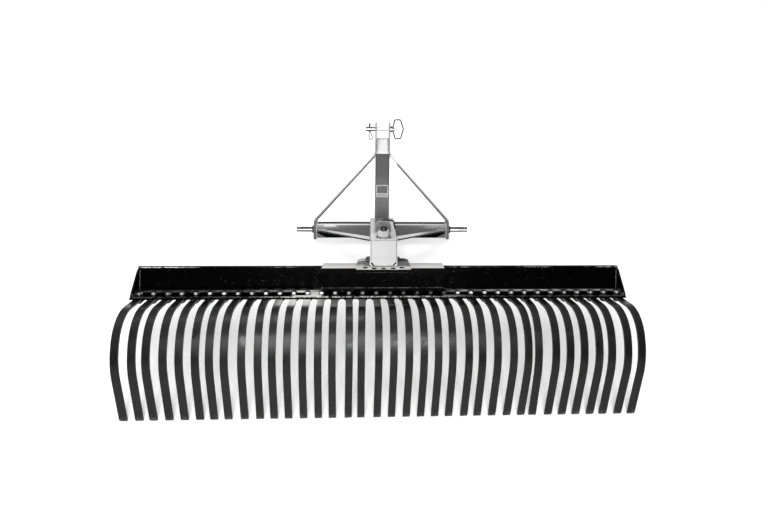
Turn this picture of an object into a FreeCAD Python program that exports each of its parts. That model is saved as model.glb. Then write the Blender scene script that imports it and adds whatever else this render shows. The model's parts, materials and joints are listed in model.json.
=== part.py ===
import FreeCAD, Part
import math
import os

from FreeCAD import Vector as V

# Landscape rake for a Category 1 three-point hitch, six-foot toolbar.
# Everything is drawn in the working attitude first (toolbar level, mast upright):
#   X to the right, Y forward towards the tractor, Z up, Z = 0 at the tine tips,
#   Y = 0 at the rear face of the toolbar's upright leg.
# At the end the whole rake is turned about X into the attitude it rests in when
# unhitched: on its tine tips and on the lower ends of the two hitch straps.

os.makedirs("parts", exist_ok=True)

# ---------------------------------------------------------------- dimensions
# toolbar: 4 x 3 x 3/8 in steel angle, leg up at the front, flange low and rearward
BAR_LEN = 1828.8
BAR_T = 9.525
BAR_LEG = 101.6
BAR_FLANGE = 76.2
Z_FLANGE = 387.0                       # underside of the flange above the tips
Z_BAR_TOP = Z_FLANGE + BAR_LEG

# tines: 1 x 5/16 in spring steel strips, bolted under the flange at 2 in centres
TINE_N = 36
TINE_PITCH = 50.8
TINE_W = 25.4
TINE_T = 7.94
TINE_Y_START = -8.0
TINE_Y_BEND = -126.4                   # where the flat top run starts to curve
TINE_R = (85.0, 120.0, 250.0)          # outer radii of the three tangent arcs
TINE_A = (50.0, 75.0, 107.5)           # heading at the end of each arc, degrees
TINE_BOLT_Y = -40.0
TINE_BEVEL = 10.0
# how far each tine has been knocked round on its bolt, degrees, left to right
TINE_SET = (-0.6, 1.0, -0.5, 0.9, 1.4, 2.1, 0.6, -0.1, 2.0, 3.1, 1.9, 1.4,
            1.8, 2.0, 1.1, 3.2, 0.1, 2.9, 2.9, 3.5, 3.4, 2.9, 2.2, 3.9,
            2.4, 3.1, 4.7, 4.7, -0.2, 2.9, 2.6, 2.1, 2.7, 0.6, 2.6, 1.8)

# centre stiffener: inverted angle closing the middle of the toolbar into a box
CA_LEN = 457.2
CA_T = 6.35
CA_Y0, CA_Y1 = -45.0, 18.5
CA_Z0 = 408.5
Z_CA_TOP = Z_BAR_TOP + CA_T

# index plate welded on top of the stiffener
IP_T = 9.525
IP_HALF = 102.0
IP_Y0, IP_Y1 = -95.0, 51.0
IP_TONGUE_R = 122.0
IP_TONGUE_HALF = 66.0
Z_IP_TOP = Z_CA_TOP + IP_T

# king pin
KING_Y = -30.0
KING_R = 12.70
KING_BORE_R = 12.75
KING_TOP = 645.0
INDEX_R = 102.0
INDEX_STEP = 15.0
INDEX_HOLE_R = 7.2
REAR_HOLES = ((-67.0, -71.5), (-34.3, -80.0), (0.0, -83.0), (34.3, -80.0), (67.0, -71.5))
REAR_HOLE_R = 9.5
RUN_GAP = 0.6                          # slack between index plate and boom

# boom: 4 x 4 x 1/4 in square tube
BOOM_W = 101.6
BOOM_WALL = 6.35
BOOM_R = 9.5
BOOM_Y0 = -64.0
HITCH_Y = 330.0                        # rear face of the hitch cross tube
Z_BOOM = Z_IP_TOP + RUN_GAP
Z_BOOM_TOP = Z_BOOM + BOOM_W
CAP_T = 5.0

# hitch cross tube, straps, mast
XB_H, XB_D, XB_WALL = 63.5, 50.8, 4.8
XB_Z = 515.5
HALF_OUT = 302.0                       # outer faces of the straps
STRAP_T = 12.7
STRAP_W = 50.8
STRAP_Z_LOW = 510.0
STRAP_KNEE_Z = 595.1
STRAP_TOP_X, STRAP_TOP_Z = 41.0, 888.1
MAST_W, MAST_D, MAST_WALL = 63.5, 50.8, 4.8
MAST_TOP = 891.0
EAR_T = 8.0
EAR_OUT = 34.0
EAR_TOP = 1037.0
EAR_HALF = 31.0
PIN_Y = HITCH_Y + XB_D / 2.0
PIN_Z = 549.5
PIN_R = 11.11
PIN_LEN = 78.0
TOP_Z = 1001.7
TOP_R = 9.525
TOP_BORE_R = 9.9
PLATE_W, PLATE_H = 52.0, 54.0          # blank identification plate on the mast

HALF_PIN = HALF_OUT + PIN_LEN


# ---------------------------------------------------------------- helpers
def box(x0, x1, y0, y1, z0, z1):
    return Part.makeBox(x1 - x0, y1 - y0, z1 - z0, V(x0, y0, z0))


def cyl(r, a, b):
    a, b = V(*a), V(*b)
    d = b.sub(a)
    return Part.makeCylinder(r, d.Length, a, d)


def face_of(points):
    pts = [V(*p) for p in points]
    return Part.Face(Part.makePolygon(pts + [pts[0]]))


def prism(points, vec):
    return face_of(points).extrude(V(*vec))


def rounded_rect(w, h, r):
    """Closed wire in the XY plane, centred on the origin."""
    x, y = w / 2.0, h / 2.0
    k = r * (1 - math.sqrt(0.5))
    e = [Part.LineSegment(V(-x + r, -y, 0), V(x - r, -y, 0)).toShape(),
         Part.Arc(V(x - r, -y, 0), V(x - k, -y + k, 0), V(x, -y + r, 0)).toShape(),
         Part.LineSegment(V(x, -y + r, 0), V(x, y - r, 0)).toShape(),
         Part.Arc(V(x, y - r, 0), V(x - k, y - k, 0), V(x - r, y, 0)).toShape(),
         Part.LineSegment(V(x - r, y, 0), V(-x + r, y, 0)).toShape(),
         Part.Arc(V(-x + r, y, 0), V(-x + k, y - k, 0), V(-x, y - r, 0)).toShape(),
         Part.LineSegment(V(-x, y - r, 0), V(-x, -y + r, 0)).toShape(),
         Part.Arc(V(-x, -y + r, 0), V(-x + k, -y + k, 0), V(-x + r, -y, 0)).toShape()]
    return Part.Wire(e)


def tube(w, h, wall, r, length):
    """Square tube along +Z from the origin."""
    outer = Part.Face(rounded_rect(w, h, r)).extrude(V(0, 0, length))
    inner = Part.Face(rounded_rect(w - 2 * wall, h - 2 * wall, max(r - wall, 1.0))).extrude(V(0, 0, length))
    return outer.cut(inner)


def round_path(points, radius, closed=False):
    """Wire of straight runs joined by tangent arcs."""
    pts = [V(*p) for p in points]
    n = len(pts)
    rad = radius if isinstance(radius, (list, tuple)) else [radius] * n
    edges = []
    ends = []
    order = range(n) if closed else range(1, n - 1)
    cut = {}
    for i in order:
        a, b, c = pts[i - 1], pts[i], pts[(i + 1) % n]
        u = a.sub(b).normalize()
        w = c.sub(b).normalize()
        ang = u.getAngle(w)
        t = rad[i] / math.tan(ang / 2.0)
        bis = (u + w).normalize()
        centre = b + bis * (rad[i] / math.sin(ang / 2.0))
        p, q = b + u * t, b + w * t
        m = centre + (b - centre).normalize() * rad[i]
        cut[i] = (p, m, q)
    for i in range(n):
        j = (i + 1) % n
        if not closed and i == n - 1:
            break
        start = cut[i][2] if i in cut else pts[i]
        stop = cut[j][0] if j in cut else pts[j]
        if start.distanceToPoint(stop) > 1e-6:
            edges.append(Part.LineSegment(start, stop).toShape())
        if j in cut and (closed or j != n - 1):
            p, m, q = cut[j]
            edges.append(Part.Arc(p, m, q).toShape())
    return Part.Wire(Part.__sortEdges__(edges))


def rod(points, r, bend, closed=False):
    """Round bar swept along a bent path."""
    wire = round_path(points, bend, closed)
    if closed:
        e0 = wire.Edges[0]
    else:
        e0 = None
        start = V(*points[0])
        for e in wire.Edges:
            if e.valueAt(e.FirstParameter).distanceToPoint(start) < 1e-6:
                e0 = e
                break
            if e.valueAt(e.LastParameter).distanceToPoint(start) < 1e-6:
                e0 = e
                break
    if closed:
        p = e0.valueAt(e0.FirstParameter)
        d = e0.tangentAt(e0.FirstParameter)
    else:
        p = V(*points[0])
        d = V(*points[1]).sub(p)
    prof = Part.Wire([Part.Circle(p, d, r).toShape()])
    return wire.makePipeShell([prof], True, False, 2)


def hexagon(af, z0, h, cx=0.0, cy=0.0, turn=0.0):
    ac = af / math.sqrt(3.0)
    pts = [(cx + ac * math.cos(math.radians(60 * i + turn)), cy + ac * math.sin(math.radians(60 * i + turn)), z0)
           for i in range(6)]
    return prism(pts, (0, 0, h))


# ---------------------------------------------------------------- rake head
head = {}

# toolbar angle
prof = [(0, BAR_T, Z_FLANGE), (0, -BAR_FLANGE + BAR_T, Z_FLANGE), (0, -BAR_FLANGE + BAR_T, Z_FLANGE + BAR_T),
        (0, 0, Z_FLANGE + BAR_T), (0, 0, Z_BAR_TOP), (0, BAR_T, Z_BAR_TOP)]
bar = prism([(-BAR_LEN / 2.0, p[1], p[2]) for p in prof], (BAR_LEN, 0, 0))
root_edges = [e for e in bar.Edges if abs(e.Length - BAR_LEN) < 0.1
              and abs(e.Vertexes[0].Y) < 1e-6 and abs(e.Vertexes[0].Z - Z_FLANGE - BAR_T) < 1e-6]
bar = bar.makeFillet(7.0, root_edges)
toe_edges = [e for e in bar.Edges if abs(e.Length - BAR_LEN) < 0.1 and
             ((abs(e.Vertexes[0].Y) < 1e-6 and abs(e.Vertexes[0].Z - Z_BAR_TOP) < 1e-6) or
              (abs(e.Vertexes[0].Y + BAR_FLANGE - BAR_T) < 1e-6 and abs(e.Vertexes[0].Z - Z_FLANGE - BAR_T) < 1e-6))]
bar = bar.makeFillet(3.0, toe_edges)
head["toolbar"] = bar

# triangular end plates, let in between leg and flange flush with the bar ends
for side, x0 in (("left", -BAR_LEN / 2.0), ("right", BAR_LEN / 2.0 - 6.35)):
    pts = [(x0, -7.2, Z_FLANGE + BAR_T), (x0, -BAR_FLANGE + BAR_T + 4.0, Z_FLANGE + BAR_T),
           (x0, -BAR_FLANGE + BAR_T + 4.0, Z_FLANGE + BAR_T + 5.0), (x0, -8.0, Z_BAR_TOP - 11.0),
           (x0, 0.0, Z_BAR_TOP - 11.0), (x0, 0.0, Z_FLANGE + BAR_T + 7.2)]
    head["end_plate_" + side] = prism(pts, (6.35, 0, 0))

# centre stiffener
ca = [(CA_Y0, CA_Z0), (CA_Y0, Z_CA_TOP), (CA_Y1, Z_CA_TOP), (CA_Y1, Z_BAR_TOP), (CA_Y0 + CA_T, Z_BAR_TOP),
      (CA_Y0 + CA_T, CA_Z0)]
stiff = prism([(-CA_LEN / 2.0, y, z) for y, z in ca], (CA_LEN, 0, 0))
outer = [e for e in stiff.Edges if abs(e.Length - CA_LEN) < 0.1 and abs(e.Vertexes[0].Y - CA_Y0) < 1e-6
         and abs(e.Vertexes[0].Z - Z_CA_TOP) < 1e-6]
stiff = stiff.makeFillet(2.5, outer)
stiff = stiff.cut(cyl(KING_R, (0, KING_Y, Z_BAR_TOP - 1), (0, KING_Y, Z_CA_TOP + 1)))
head["centre_angle"] = stiff

# index plate with a tongue under the boom
c = 14.0
body = prism([(-IP_HALF + 4, IP_Y0, Z_CA_TOP), (IP_HALF - 4, IP_Y0, Z_CA_TOP), (IP_HALF, IP_Y0 + 14, Z_CA_TOP),
              (IP_HALF - 6, IP_Y1 - c, Z_CA_TOP), (IP_HALF - 6 - c, IP_Y1, Z_CA_TOP),
              (-IP_HALF + 6 + c, IP_Y1, Z_CA_TOP), (-IP_HALF + 6, IP_Y1 - c, Z_CA_TOP),
              (-IP_HALF, IP_Y0 + 14, Z_CA_TOP)], (0, 0, IP_T))
tongue = cyl(IP_TONGUE_R, (0, KING_Y, Z_CA_TOP), (0, KING_Y, Z_IP_TOP)).common(
    box(-IP_TONGUE_HALF, IP_TONGUE_HALF, IP_Y1 - 20.0, IP_Y1 + 120.0, Z_CA_TOP, Z_IP_TOP))
plate = body.fuse(tongue).removeSplitter()
for hx, hy in REAR_HOLES:
    plate = plate.cut(cyl(REAR_HOLE_R, (hx, hy, Z_CA_TOP - 1), (hx, hy, Z_IP_TOP + 1)))
for k in (-2, -1, 0, 1, 2):
    a = math.radians(k * INDEX_STEP)
    hx, hy = INDEX_R * math.sin(a), KING_Y + INDEX_R * math.cos(a)
    plate = plate.cut(cyl(INDEX_HOLE_R, (hx, hy, Z_CA_TOP - 1), (hx, hy, Z_IP_TOP + 1)))
plate = plate.cut(cyl(KING_R, (0, KING_Y, Z_CA_TOP - 1), (0, KING_Y, Z_IP_TOP + 1)))
head["index_plate"] = plate

# king pin, washer and nut
kp = cyl(KING_R, (0, KING_Y, Z_BAR_TOP), (0, KING_Y, KING_TOP))
kp = kp.makeChamfer(1.6, [e for e in kp.Edges if abs(e.BoundBox.ZMin - KING_TOP) < 1e-3 and abs(e.BoundBox.ZMax - KING_TOP) < 1e-3])
head["king_pin"] = kp
WASHER_Z = Z_BOOM_TOP + 0.4
ring = cyl(28.0, (0, KING_Y, WASHER_Z), (0, KING_Y, WASHER_Z + 3.4)).cut(
    cyl(KING_R, (0, KING_Y, WASHER_Z - 1), (0, KING_Y, WASHER_Z + 5)))
nut = hexagon(38.1, WASHER_Z + 3.4, 21.5, 0, KING_Y, 18.0)
nut = nut.common(Part.makeCone(55.9, 20.1, 21.5, V(0, KING_Y, WASHER_Z + 3.4), V(0, 0, 1)))
nut = nut.cut(cyl(KING_R, (0, KING_Y, WASHER_Z), (0, KING_Y, WASHER_Z + 40)))
head["king_washer"] = ring
head["king_nut"] = nut


# tines
def tine_shape():
    def side(off):
        """Points of one side of the strip; off is how far inside the outer face it runs."""
        y, z = TINE_Y_BEND, Z_FLANGE - off
        out = [("p", TINE_Y_START, z), ("p", y, z)]
        a0 = 0.0
        cy, cz = y, z
        for R, a1 in zip(TINE_R, TINE_A):
            r = R - off
            am = (a0 + a1) / 2.0
            f = lambda a, r=r, cy=cy, cz=cz, a0=a0: (
                cy - r * (math.sin(math.radians(a)) - math.sin(math.radians(a0))),
                cz - r * (math.cos(math.radians(a0)) - math.cos(math.radians(a))))
            m, q = f(am), f(a1)
            out.append(("a", m[0], m[1], q[0], q[1]))
            cy, cz = q
            a0 = a1
        return out, cy, cz
    outer, oy, oz = side(0.0)
    inner, iy, iz = side(TINE_T)
    t = math.radians(TINE_A[-1] - 90.0)
    dy, dz = math.sin(t), -math.cos(t)
    run = (oz - 0.0) / math.cos(t)
    # the outer corner of the square-cut tip is the lowest point, at z = 0
    oe = (oy + dy * run, oz + dz * run)
    ie = (iy + dy * run, iz + dz * run)
    ob = (oy + dy * (run - TINE_BEVEL), oz + dz * (run - TINE_BEVEL))
    ny, nz = math.cos(t), math.sin(t)
    oc = (oe[0] + ny * TINE_T * 0.45, oe[1] + nz * TINE_T * 0.45)

    def edges(side_pts, end):
        e = []
        cur = side_pts[0][1:3]
        for s in side_pts[1:]:
            if s[0] == "p":
                e.append(Part.LineSegment(V(0, cur[0], cur[1]), V(0, s[1], s[2])).toShape())
                cur = s[1:3]
            else:
                e.append(Part.Arc(V(0, cur[0], cur[1]), V(0, s[1], s[2]), V(0, s[3], s[4])).toShape())
                cur = s[3:5]
        e.append(Part.LineSegment(V(0, cur[0], cur[1]), V(0, end[0], end[1])).toShape())
        return e
    es = edges(outer, ob) + edges(inner, ie)
    es.append(Part.LineSegment(V(0, ob[0], ob[1]), V(0, oc[0], oc[1])).toShape())
    es.append(Part.LineSegment(V(0, oc[0], oc[1]), V(0, ie[0], ie[1])).toShape())
    es.append(Part.LineSegment(V(0, TINE_Y_START, Z_FLANGE), V(0, TINE_Y_START, Z_FLANGE - TINE_T)).toShape())
    w = Part.Wire(Part.__sortEdges__(es))
    s = Part.Face(w).extrude(V(TINE_W, 0, 0))
    s.translate(V(-TINE_W / 2.0, 0, 0))
    return s, ie, oc


tine, TIP_IN, TIP_OUT = tine_shape()
tines = []
for i in range(TINE_N):
    s = tine.copy()
    s.rotate(V(0, TINE_BOLT_Y, 0), V(0, 0, 1), TINE_SET[i])
    s.translate(V((i - (TINE_N - 1) / 2.0) * TINE_PITCH, 0, 0))
    tines.append(s)
for g in range(6):
    head["tines_%d" % (g + 1)] = Part.makeCompound(tines[6 * g:6 * g + 6])

# ---------------------------------------------------------------- hitch frame
root = {}

# boom with king pin bores and lock pin bores
boom = tube(BOOM_W, BOOM_W, BOOM_WALL, BOOM_R, HITCH_Y - BOOM_Y0 - CAP_T - 4.0)
boom.rotate(V(0, 0, 0), V(1, 0, 0), -90)
boom.translate(V(0, BOOM_Y0 + CAP_T, Z_BOOM + BOOM_W / 2.0))
boom = boom.cut(cyl(KING_BORE_R, (0, KING_Y, Z_BOOM - 1), (0, KING_Y, Z_BOOM_TOP + 1)))
LOCK_Y = KING_Y + INDEX_R
LOCK_R = 6.35
boom = boom.cut(cyl(LOCK_R, (0, LOCK_Y, Z_BOOM - 1), (0, LOCK_Y, Z_BOOM_TOP + 1)))
root["boom"] = boom
# welded end cap with clipped lower corners
k, m = 12.0, 6.0
hw = BOOM_W / 2.0 - m
cap = prism([(-hw + k, BOOM_Y0, Z_BOOM + m), (hw - k, BOOM_Y0, Z_BOOM + m), (hw, BOOM_Y0, Z_BOOM + m + k),
             (hw, BOOM_Y0, Z_BOOM_TOP - m), (-hw, BOOM_Y0, Z_BOOM_TOP - m), (-hw, BOOM_Y0, Z_BOOM + m + k)],
            (0, CAP_T, 0))
root["boom_cap"] = cap

# plate closing the front end of the boom where it meets the cross tube
root["boom_front_plate"] = box(-BOOM_W / 2.0 + 1.0, BOOM_W / 2.0 - 1.0, HITCH_Y - 4.0, HITCH_Y, Z_BOOM + 1.0, Z_BOOM_TOP - 1.0)

# cross tube between the straps
XB_HALF = HALF_OUT - STRAP_T
xb = tube(XB_H, XB_D, XB_WALL, 7.0, 2 * XB_HALF)
xb.rotate(V(0, 0, 0), V(0, 1, 0), 90)
xb.translate(V(-XB_HALF, HITCH_Y + XB_D / 2.0, XB_Z + XB_H / 2.0))
root["cross_tube"] = xb

# mast tube standing on the cross tube
mast = tube(MAST_W, MAST_D, MAST_WALL, 7.0, MAST_TOP - XB_Z - XB_H)
mast.translate(V(0, HITCH_Y + XB_D / 2.0, XB_Z + XB_H))
root["mast"] = mast

# mast head: two ears and the sloping web between them
ears = None
for sx in (-1, 1):
    x0 = min(sx * EAR_OUT, sx * (EAR_OUT - EAR_T))
    e = box(x0, x0 + EAR_T, PIN_Y - EAR_HALF, PIN_Y + EAR_HALF, MAST_TOP, EAR_TOP - EAR_HALF)
    e = e.fuse(cyl(EAR_HALF, (x0, PIN_Y, EAR_TOP - EAR_HALF), (x0 + EAR_T, PIN_Y, EAR_TOP - EAR_HALF)))
    ears = e if ears is None else ears.fuse(e)
xi = EAR_OUT - EAR_T
web = prism([(-xi, PIN_Y - 25.4, MAST_TOP), (-xi, PIN_Y - 17.0, MAST_TOP), (-xi, PIN_Y + 22.0, 950.0),
             (-xi, PIN_Y + 22.0, 958.0), (-xi, PIN_Y + 13.0, 958.0)], (2 * xi, 0, 0))
base = box(-EAR_OUT, EAR_OUT, PIN_Y - 25.4, PIN_Y + 25.4, MAST_TOP, MAST_TOP + 6.0)
mh = ears.fuse(web).fuse(base).removeSplitter()
mh = mh.cut(cyl(TOP_BORE_R, (-60, PIN_Y, TOP_Z), (60, PIN_Y, TOP_Z)))
root["mast_head"] = mh

# straps from the mast down to the cross tube ends
for side, sx in (("left", -1), ("right", 1)):
    ang = math.atan2(STRAP_TOP_Z - STRAP_KNEE_Z, HALF_OUT - STRAP_TOP_X)
    # outer line: low end, knee, top; inner line parallel at the bar's thickness
    ox, oz = HALF_OUT, STRAP_KNEE_Z
    tx, tz = STRAP_TOP_X, STRAP_TOP_Z
    ux, uz = (tx - ox), (tz - oz)
    L = math.hypot(ux, uz)
    ux, uz = ux / L, uz / L
    nx, nz = -uz, ux                    # towards the inside, below the strap
    if nx > 0:
        nx, nz = -nx, -nz
    # inner knee: intersection of x = HALF_OUT - T with the inner sloping line
    px, pz = tx + nx * STRAP_T, tz + nz * STRAP_T
    xi2 = HALF_OUT - STRAP_T
    s = (xi2 - px) / (-ux)
    kz = pz - uz * s
    mx = MAST_W / 2.0                   # both lines run on to the side of the mast
    so = (mx - tx) / ux
    zo = tz + uz * so
    si = (mx - px) / ux
    zi = pz + uz * si
    pts = [(sx * HALF_OUT, STRAP_Z_LOW), (sx * ox, oz), (sx * mx, zo), (sx * mx, zi), (sx * xi2, kz),
           (sx * xi2, STRAP_Z_LOW)]
    y0 = HITCH_Y + (XB_D - STRAP_W) / 2.0
    st = prism([(x, y0, z) for x, z in pts], (0, STRAP_W, 0))
    knees = [e for e in st.Edges if abs(e.Length - STRAP_W) < 0.01 and
             ((abs(abs(e.Vertexes[0].X) - ox) < 1e-4 and abs(e.Vertexes[0].Z - oz) < 1e-4))]
    st = st.makeFillet(STRAP_T + 12.0, knees)
    knees = [e for e in st.Edges if abs(e.Length - STRAP_W) < 0.01 and
             ((abs(abs(e.Vertexes[0].X) - xi2) < 1e-4 and abs(e.Vertexes[0].Z - kz) < 1e-4))]
    st = st.makeFillet(12.0, knees)
    root["strap_" + side] = st.cut(mh)  # notched round the foot of the mast head

# flat diagonal braces from the cross tube ends to the boom sides
for side, sx in (("left", -1), ("right", 1)):
    z0 = 546.2
    pts = [(sx * BOOM_W / 2.0, 152.0, z0), (sx * (XB_HALF - 2.0), HITCH_Y - 2.0, z0), (sx * (XB_HALF - 2.0), HITCH_Y, z0),
           (sx * 245.0, HITCH_Y, z0), (sx * BOOM_W / 2.0, 205.0, z0)]
    root["brace_" + side] = prism(pts, (0, 0, 6.35))

# lower hitch pins with their collars; the right one stands out a little further
for side, sx, more in (("left", -1, 0.0), ("right", 1, 9.5)):
    tip = HALF_PIN + more
    a, b = sx * HALF_OUT, sx * tip
    pin = cyl(PIN_R, (a, PIN_Y, PIN_Z), (b, PIN_Y, PIN_Z))
    pin = pin.makeChamfer(2.0, [e for e in pin.Edges if abs(abs(e.BoundBox.XMin) - tip) < 1e-3 and abs(abs(e.BoundBox.XMax) - tip) < 1e-3])
    pin = pin.fuse(cyl(16.5, (a, PIN_Y, PIN_Z), (a + sx * 7.0, PIN_Y, PIN_Z))).removeSplitter()
    hx = sx * (tip - 13.0)
    pin = pin.cut(cyl(5.6, (hx, PIN_Y, PIN_Z - 30), (hx, PIN_Y, PIN_Z + 30)))
    root["lower_pin_" + side] = pin

# top link pin, its pull ring and its spring clip
tp = cyl(TOP_R, (-77.0, PIN_Y, TOP_Z), (38.0, PIN_Y, TOP_Z))
tp = tp.makeChamfer(2.0, [e for e in tp.Edges if abs(e.BoundBox.XMin + 77.0) < 1e-3 and abs(e.BoundBox.XMax + 77.0) < 1e-3])
tp = tp.fuse(cyl(13.5, (EAR_OUT + 0.5, PIN_Y, TOP_Z), (EAR_OUT + 8.5, PIN_Y, TOP_Z)))
tp = tp.fuse(cyl(7.5, (EAR_OUT + 4.0, PIN_Y, TOP_Z), (54.5, PIN_Y, TOP_Z))).removeSplitter()
RING_X = 46.5
tp = tp.cut(cyl(3.3, (RING_X, PIN_Y, TOP_Z - 20), (RING_X, PIN_Y, TOP_Z + 20)))
CLIP_X = -61.0
tp = tp.cut(cyl(2.3, (CLIP_X, PIN_Y, TOP_Z - 20), (CLIP_X, PIN_Y, TOP_Z + 20)))
root["top_link_pin"] = tp

# pull ring: wire bent to a long hexagon, through the upright cross hole at the end of the pin
ring_pts = [(RING_X, PIN_Y, TOP_Z - 10.0), (RING_X, PIN_Y, TOP_Z + 10.0), (53.5, PIN_Y, TOP_Z + 43.0), (79.7, PIN_Y, TOP_Z + 43.0),
            (92.8, PIN_Y, TOP_Z + 1.0), (81.0, PIN_Y, TOP_Z - 41.5), (56.0, PIN_Y, TOP_Z - 43.5)]
root["pull_ring"] = rod(ring_pts, 3.0, 6.5, True)

# spring clip: straight leg down through the pin, wavy leg round it
zt = TOP_Z
cx = CLIP_X
clip_pts = [(cx, PIN_Y, zt + 27.0), (cx, PIN_Y, zt - 38.0), (cx + 3.0, PIN_Y + 2.0, zt - 47.0), (cx + 13.5, PIN_Y + 6.0, zt - 45.0),
            (cx + 15.0, PIN_Y + 8.0, zt - 36.0), (cx + 8.0, PIN_Y + 12.0, zt - 20.0), (cx + 3.0, PIN_Y + 14.2, zt - 8.0),
            (cx + 2.5, PIN_Y + 14.2, zt + 7.0), (cx + 3.5, PIN_Y + 11.4, zt + 14.0), (cx + 5.0, PIN_Y + 15.0, zt + 25.0)]
root["spring_clip"] = rod(clip_pts, 2.0, [0, 4.0, 4.0, 4.0, 5.0, 6.0, 5.0, 4.0, 4.0, 0])

# lock pin, lifted clear of the index plate, with its bent handle over the bracket
lock = cyl(LOCK_R, (0.0, LOCK_Y, Z_BOOM + 4.0), (0.0, LOCK_Y, 641.0))
lock = lock.makeChamfer(1.2, [e for e in lock.Edges if abs(e.BoundBox.ZMin - 641.0) < 1e-3 and abs(e.BoundBox.ZMax - 641.0) < 1e-3])
lock_pts = [(0.0, LOCK_Y, 628.0), (0.0, LOCK_Y, 654.0), (41.0, LOCK_Y, 647.0), (47.0, LOCK_Y - 3.0, 617.0)]
root["lock_pin"] = lock.fuse(rod(lock_pts, 3.4, [0, 8.0, 8.0, 0])).removeSplitter()

# bracket that guards the lock pin: a round-topped plate across the boom
bx = 31.0
BR_Y = 54.0
br = box(-bx, bx, BR_Y, BR_Y + 8.0, Z_BOOM_TOP, 648.0)
corner = [e for e in br.Edges if abs(e.Length - 8.0) < 1e-3 and abs(e.Vertexes[0].Z - 648.0) < 1e-4]
br = br.makeFillet(20.0, corner)
root["lock_bracket"] = br

# blank identification plate on the rear of the mast
pz = 699.3
root["blank_plate"] = box(-PLATE_W / 2.0, PLATE_W / 2.0, HITCH_Y - 1.0, HITCH_Y, pz, pz + PLATE_H)

# ---------------------------------------------------------------- resting attitude
# the rake leans forward until the front lower corners of the straps meet the ground
STRAP_FRONT = HITCH_Y + (XB_D + STRAP_W) / 2.0
# lowest corner of the tips once it leans: the inner corner of the tip
t_y, t_z = TIP_IN
lean = math.atan2(STRAP_Z_LOW - t_z, STRAP_FRONT - t_y)
LEAN = math.degrees(lean)


def level_to_rest(y, z):
    return (y * math.cos(lean) + z * math.sin(lean), -y * math.sin(lean) + z * math.cos(lean))


every = list(head.items()) + list(root.items())
for name, s in every:
    s.rotate(V(0, 0, 0), V(1, 0, 0), -LEAN)
bb = FreeCAD.BoundBox()
for name, s in every:
    bb.add(s.optimalBoundingBox(True, False) if hasattr(s, "optimalBoundingBox") else s.BoundBox)
SHIFT = V(-(bb.XMin + bb.XMax) / 2.0, -(bb.YMin + bb.YMax) / 2.0, -bb.ZMin)
for name, s in every:
    s.translate(SHIFT)
    s.exportStep("parts/%s.step" % name)


def rest_point(x, y, z):
    a, b = level_to_rest(y, z)
    return (round((x + SHIFT.x) / 1000.0, 6), round((a + SHIFT.y) / 1000.0, 6), round((b + SHIFT.z) / 1000.0, 6))


print("lean_deg", round(LEAN, 4), "shift_mm", [round(v, 4) for v in SHIFT], "box", [round(v, 1) for v in (
    bb.XLength, bb.YLength, bb.ZLength)])
up = (0.0, round(math.sin(lean), 6), round(math.cos(lean), 6))
print("up_axis", up, "forward_axis", (0.0, round(math.cos(lean), 6), round(-math.sin(lean), 6)))
print("king", rest_point(0, KING_Y, Z_BOOM), "lower_pin_right", rest_point(HALF_OUT + 7.0 + (PIN_LEN - 7.0) / 2.0, PIN_Y, PIN_Z),
      "lower_pin_left", rest_point(-(HALF_OUT + 7.0 + (PIN_LEN - 7.0) / 2.0), PIN_Y, PIN_Z), "top_bore", rest_point(0, PIN_Y, TOP_Z))
vol = 0.0
my = mz = 0.0
for name, s in every:
    vol += s.Volume
    c0 = s.CenterOfGravity if hasattr(s, "CenterOfGravity") else s.CenterOfMass
    my += s.Volume * c0.y
    mz += s.Volume * c0.z
    if not s.isValid():
        print("invalid", name)
print("volume_m3", vol * 1e-9, "mass at 7850", vol * 7.85e-6, "centre y z", my / vol, mz / vol)
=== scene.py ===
import json
import math
import random

import bpy
from mathutils import Matrix, Vector


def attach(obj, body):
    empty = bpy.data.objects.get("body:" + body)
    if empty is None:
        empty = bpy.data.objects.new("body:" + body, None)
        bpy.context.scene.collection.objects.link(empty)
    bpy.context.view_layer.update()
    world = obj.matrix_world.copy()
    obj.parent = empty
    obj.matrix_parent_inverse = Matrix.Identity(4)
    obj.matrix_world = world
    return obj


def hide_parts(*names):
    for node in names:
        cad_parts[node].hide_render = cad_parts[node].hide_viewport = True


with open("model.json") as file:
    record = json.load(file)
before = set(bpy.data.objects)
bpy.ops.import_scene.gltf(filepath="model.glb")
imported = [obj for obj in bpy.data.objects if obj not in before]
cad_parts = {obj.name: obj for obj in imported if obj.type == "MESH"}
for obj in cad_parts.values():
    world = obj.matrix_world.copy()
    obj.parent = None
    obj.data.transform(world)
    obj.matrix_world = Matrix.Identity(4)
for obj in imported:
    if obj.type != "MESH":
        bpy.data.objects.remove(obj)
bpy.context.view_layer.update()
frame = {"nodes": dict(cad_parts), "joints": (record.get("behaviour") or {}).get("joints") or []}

NODES = frame["nodes"]
SCENE = bpy.context.scene
random.seed(36)

# ------------------------------------------------------------------ frames
# The part is drawn level and stored leaning forward. The swivel joint's axis is
# the level "up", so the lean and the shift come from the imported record.
JOINT = frame["joints"][0]
AXIS = JOINT["axis"]
LEAN = math.atan2(AXIS[1], AXIS[2])
TURN = Matrix.Rotation(-LEAN, 4, "X")
SHIFT = Vector(JOINT["pos_m"]) - (TURN @ Vector((0.0, -0.030, 0.507)))
TO_ROW = Matrix.Translation(SHIFT) @ TURN
TO_LEVEL = TO_ROW.inverted()


def lv(x, y, z):
    """A point of the level frame, in millimetres, in the row frame in metres."""
    return TO_ROW @ Vector((x / 1000.0, y / 1000.0, z / 1000.0))


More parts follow.
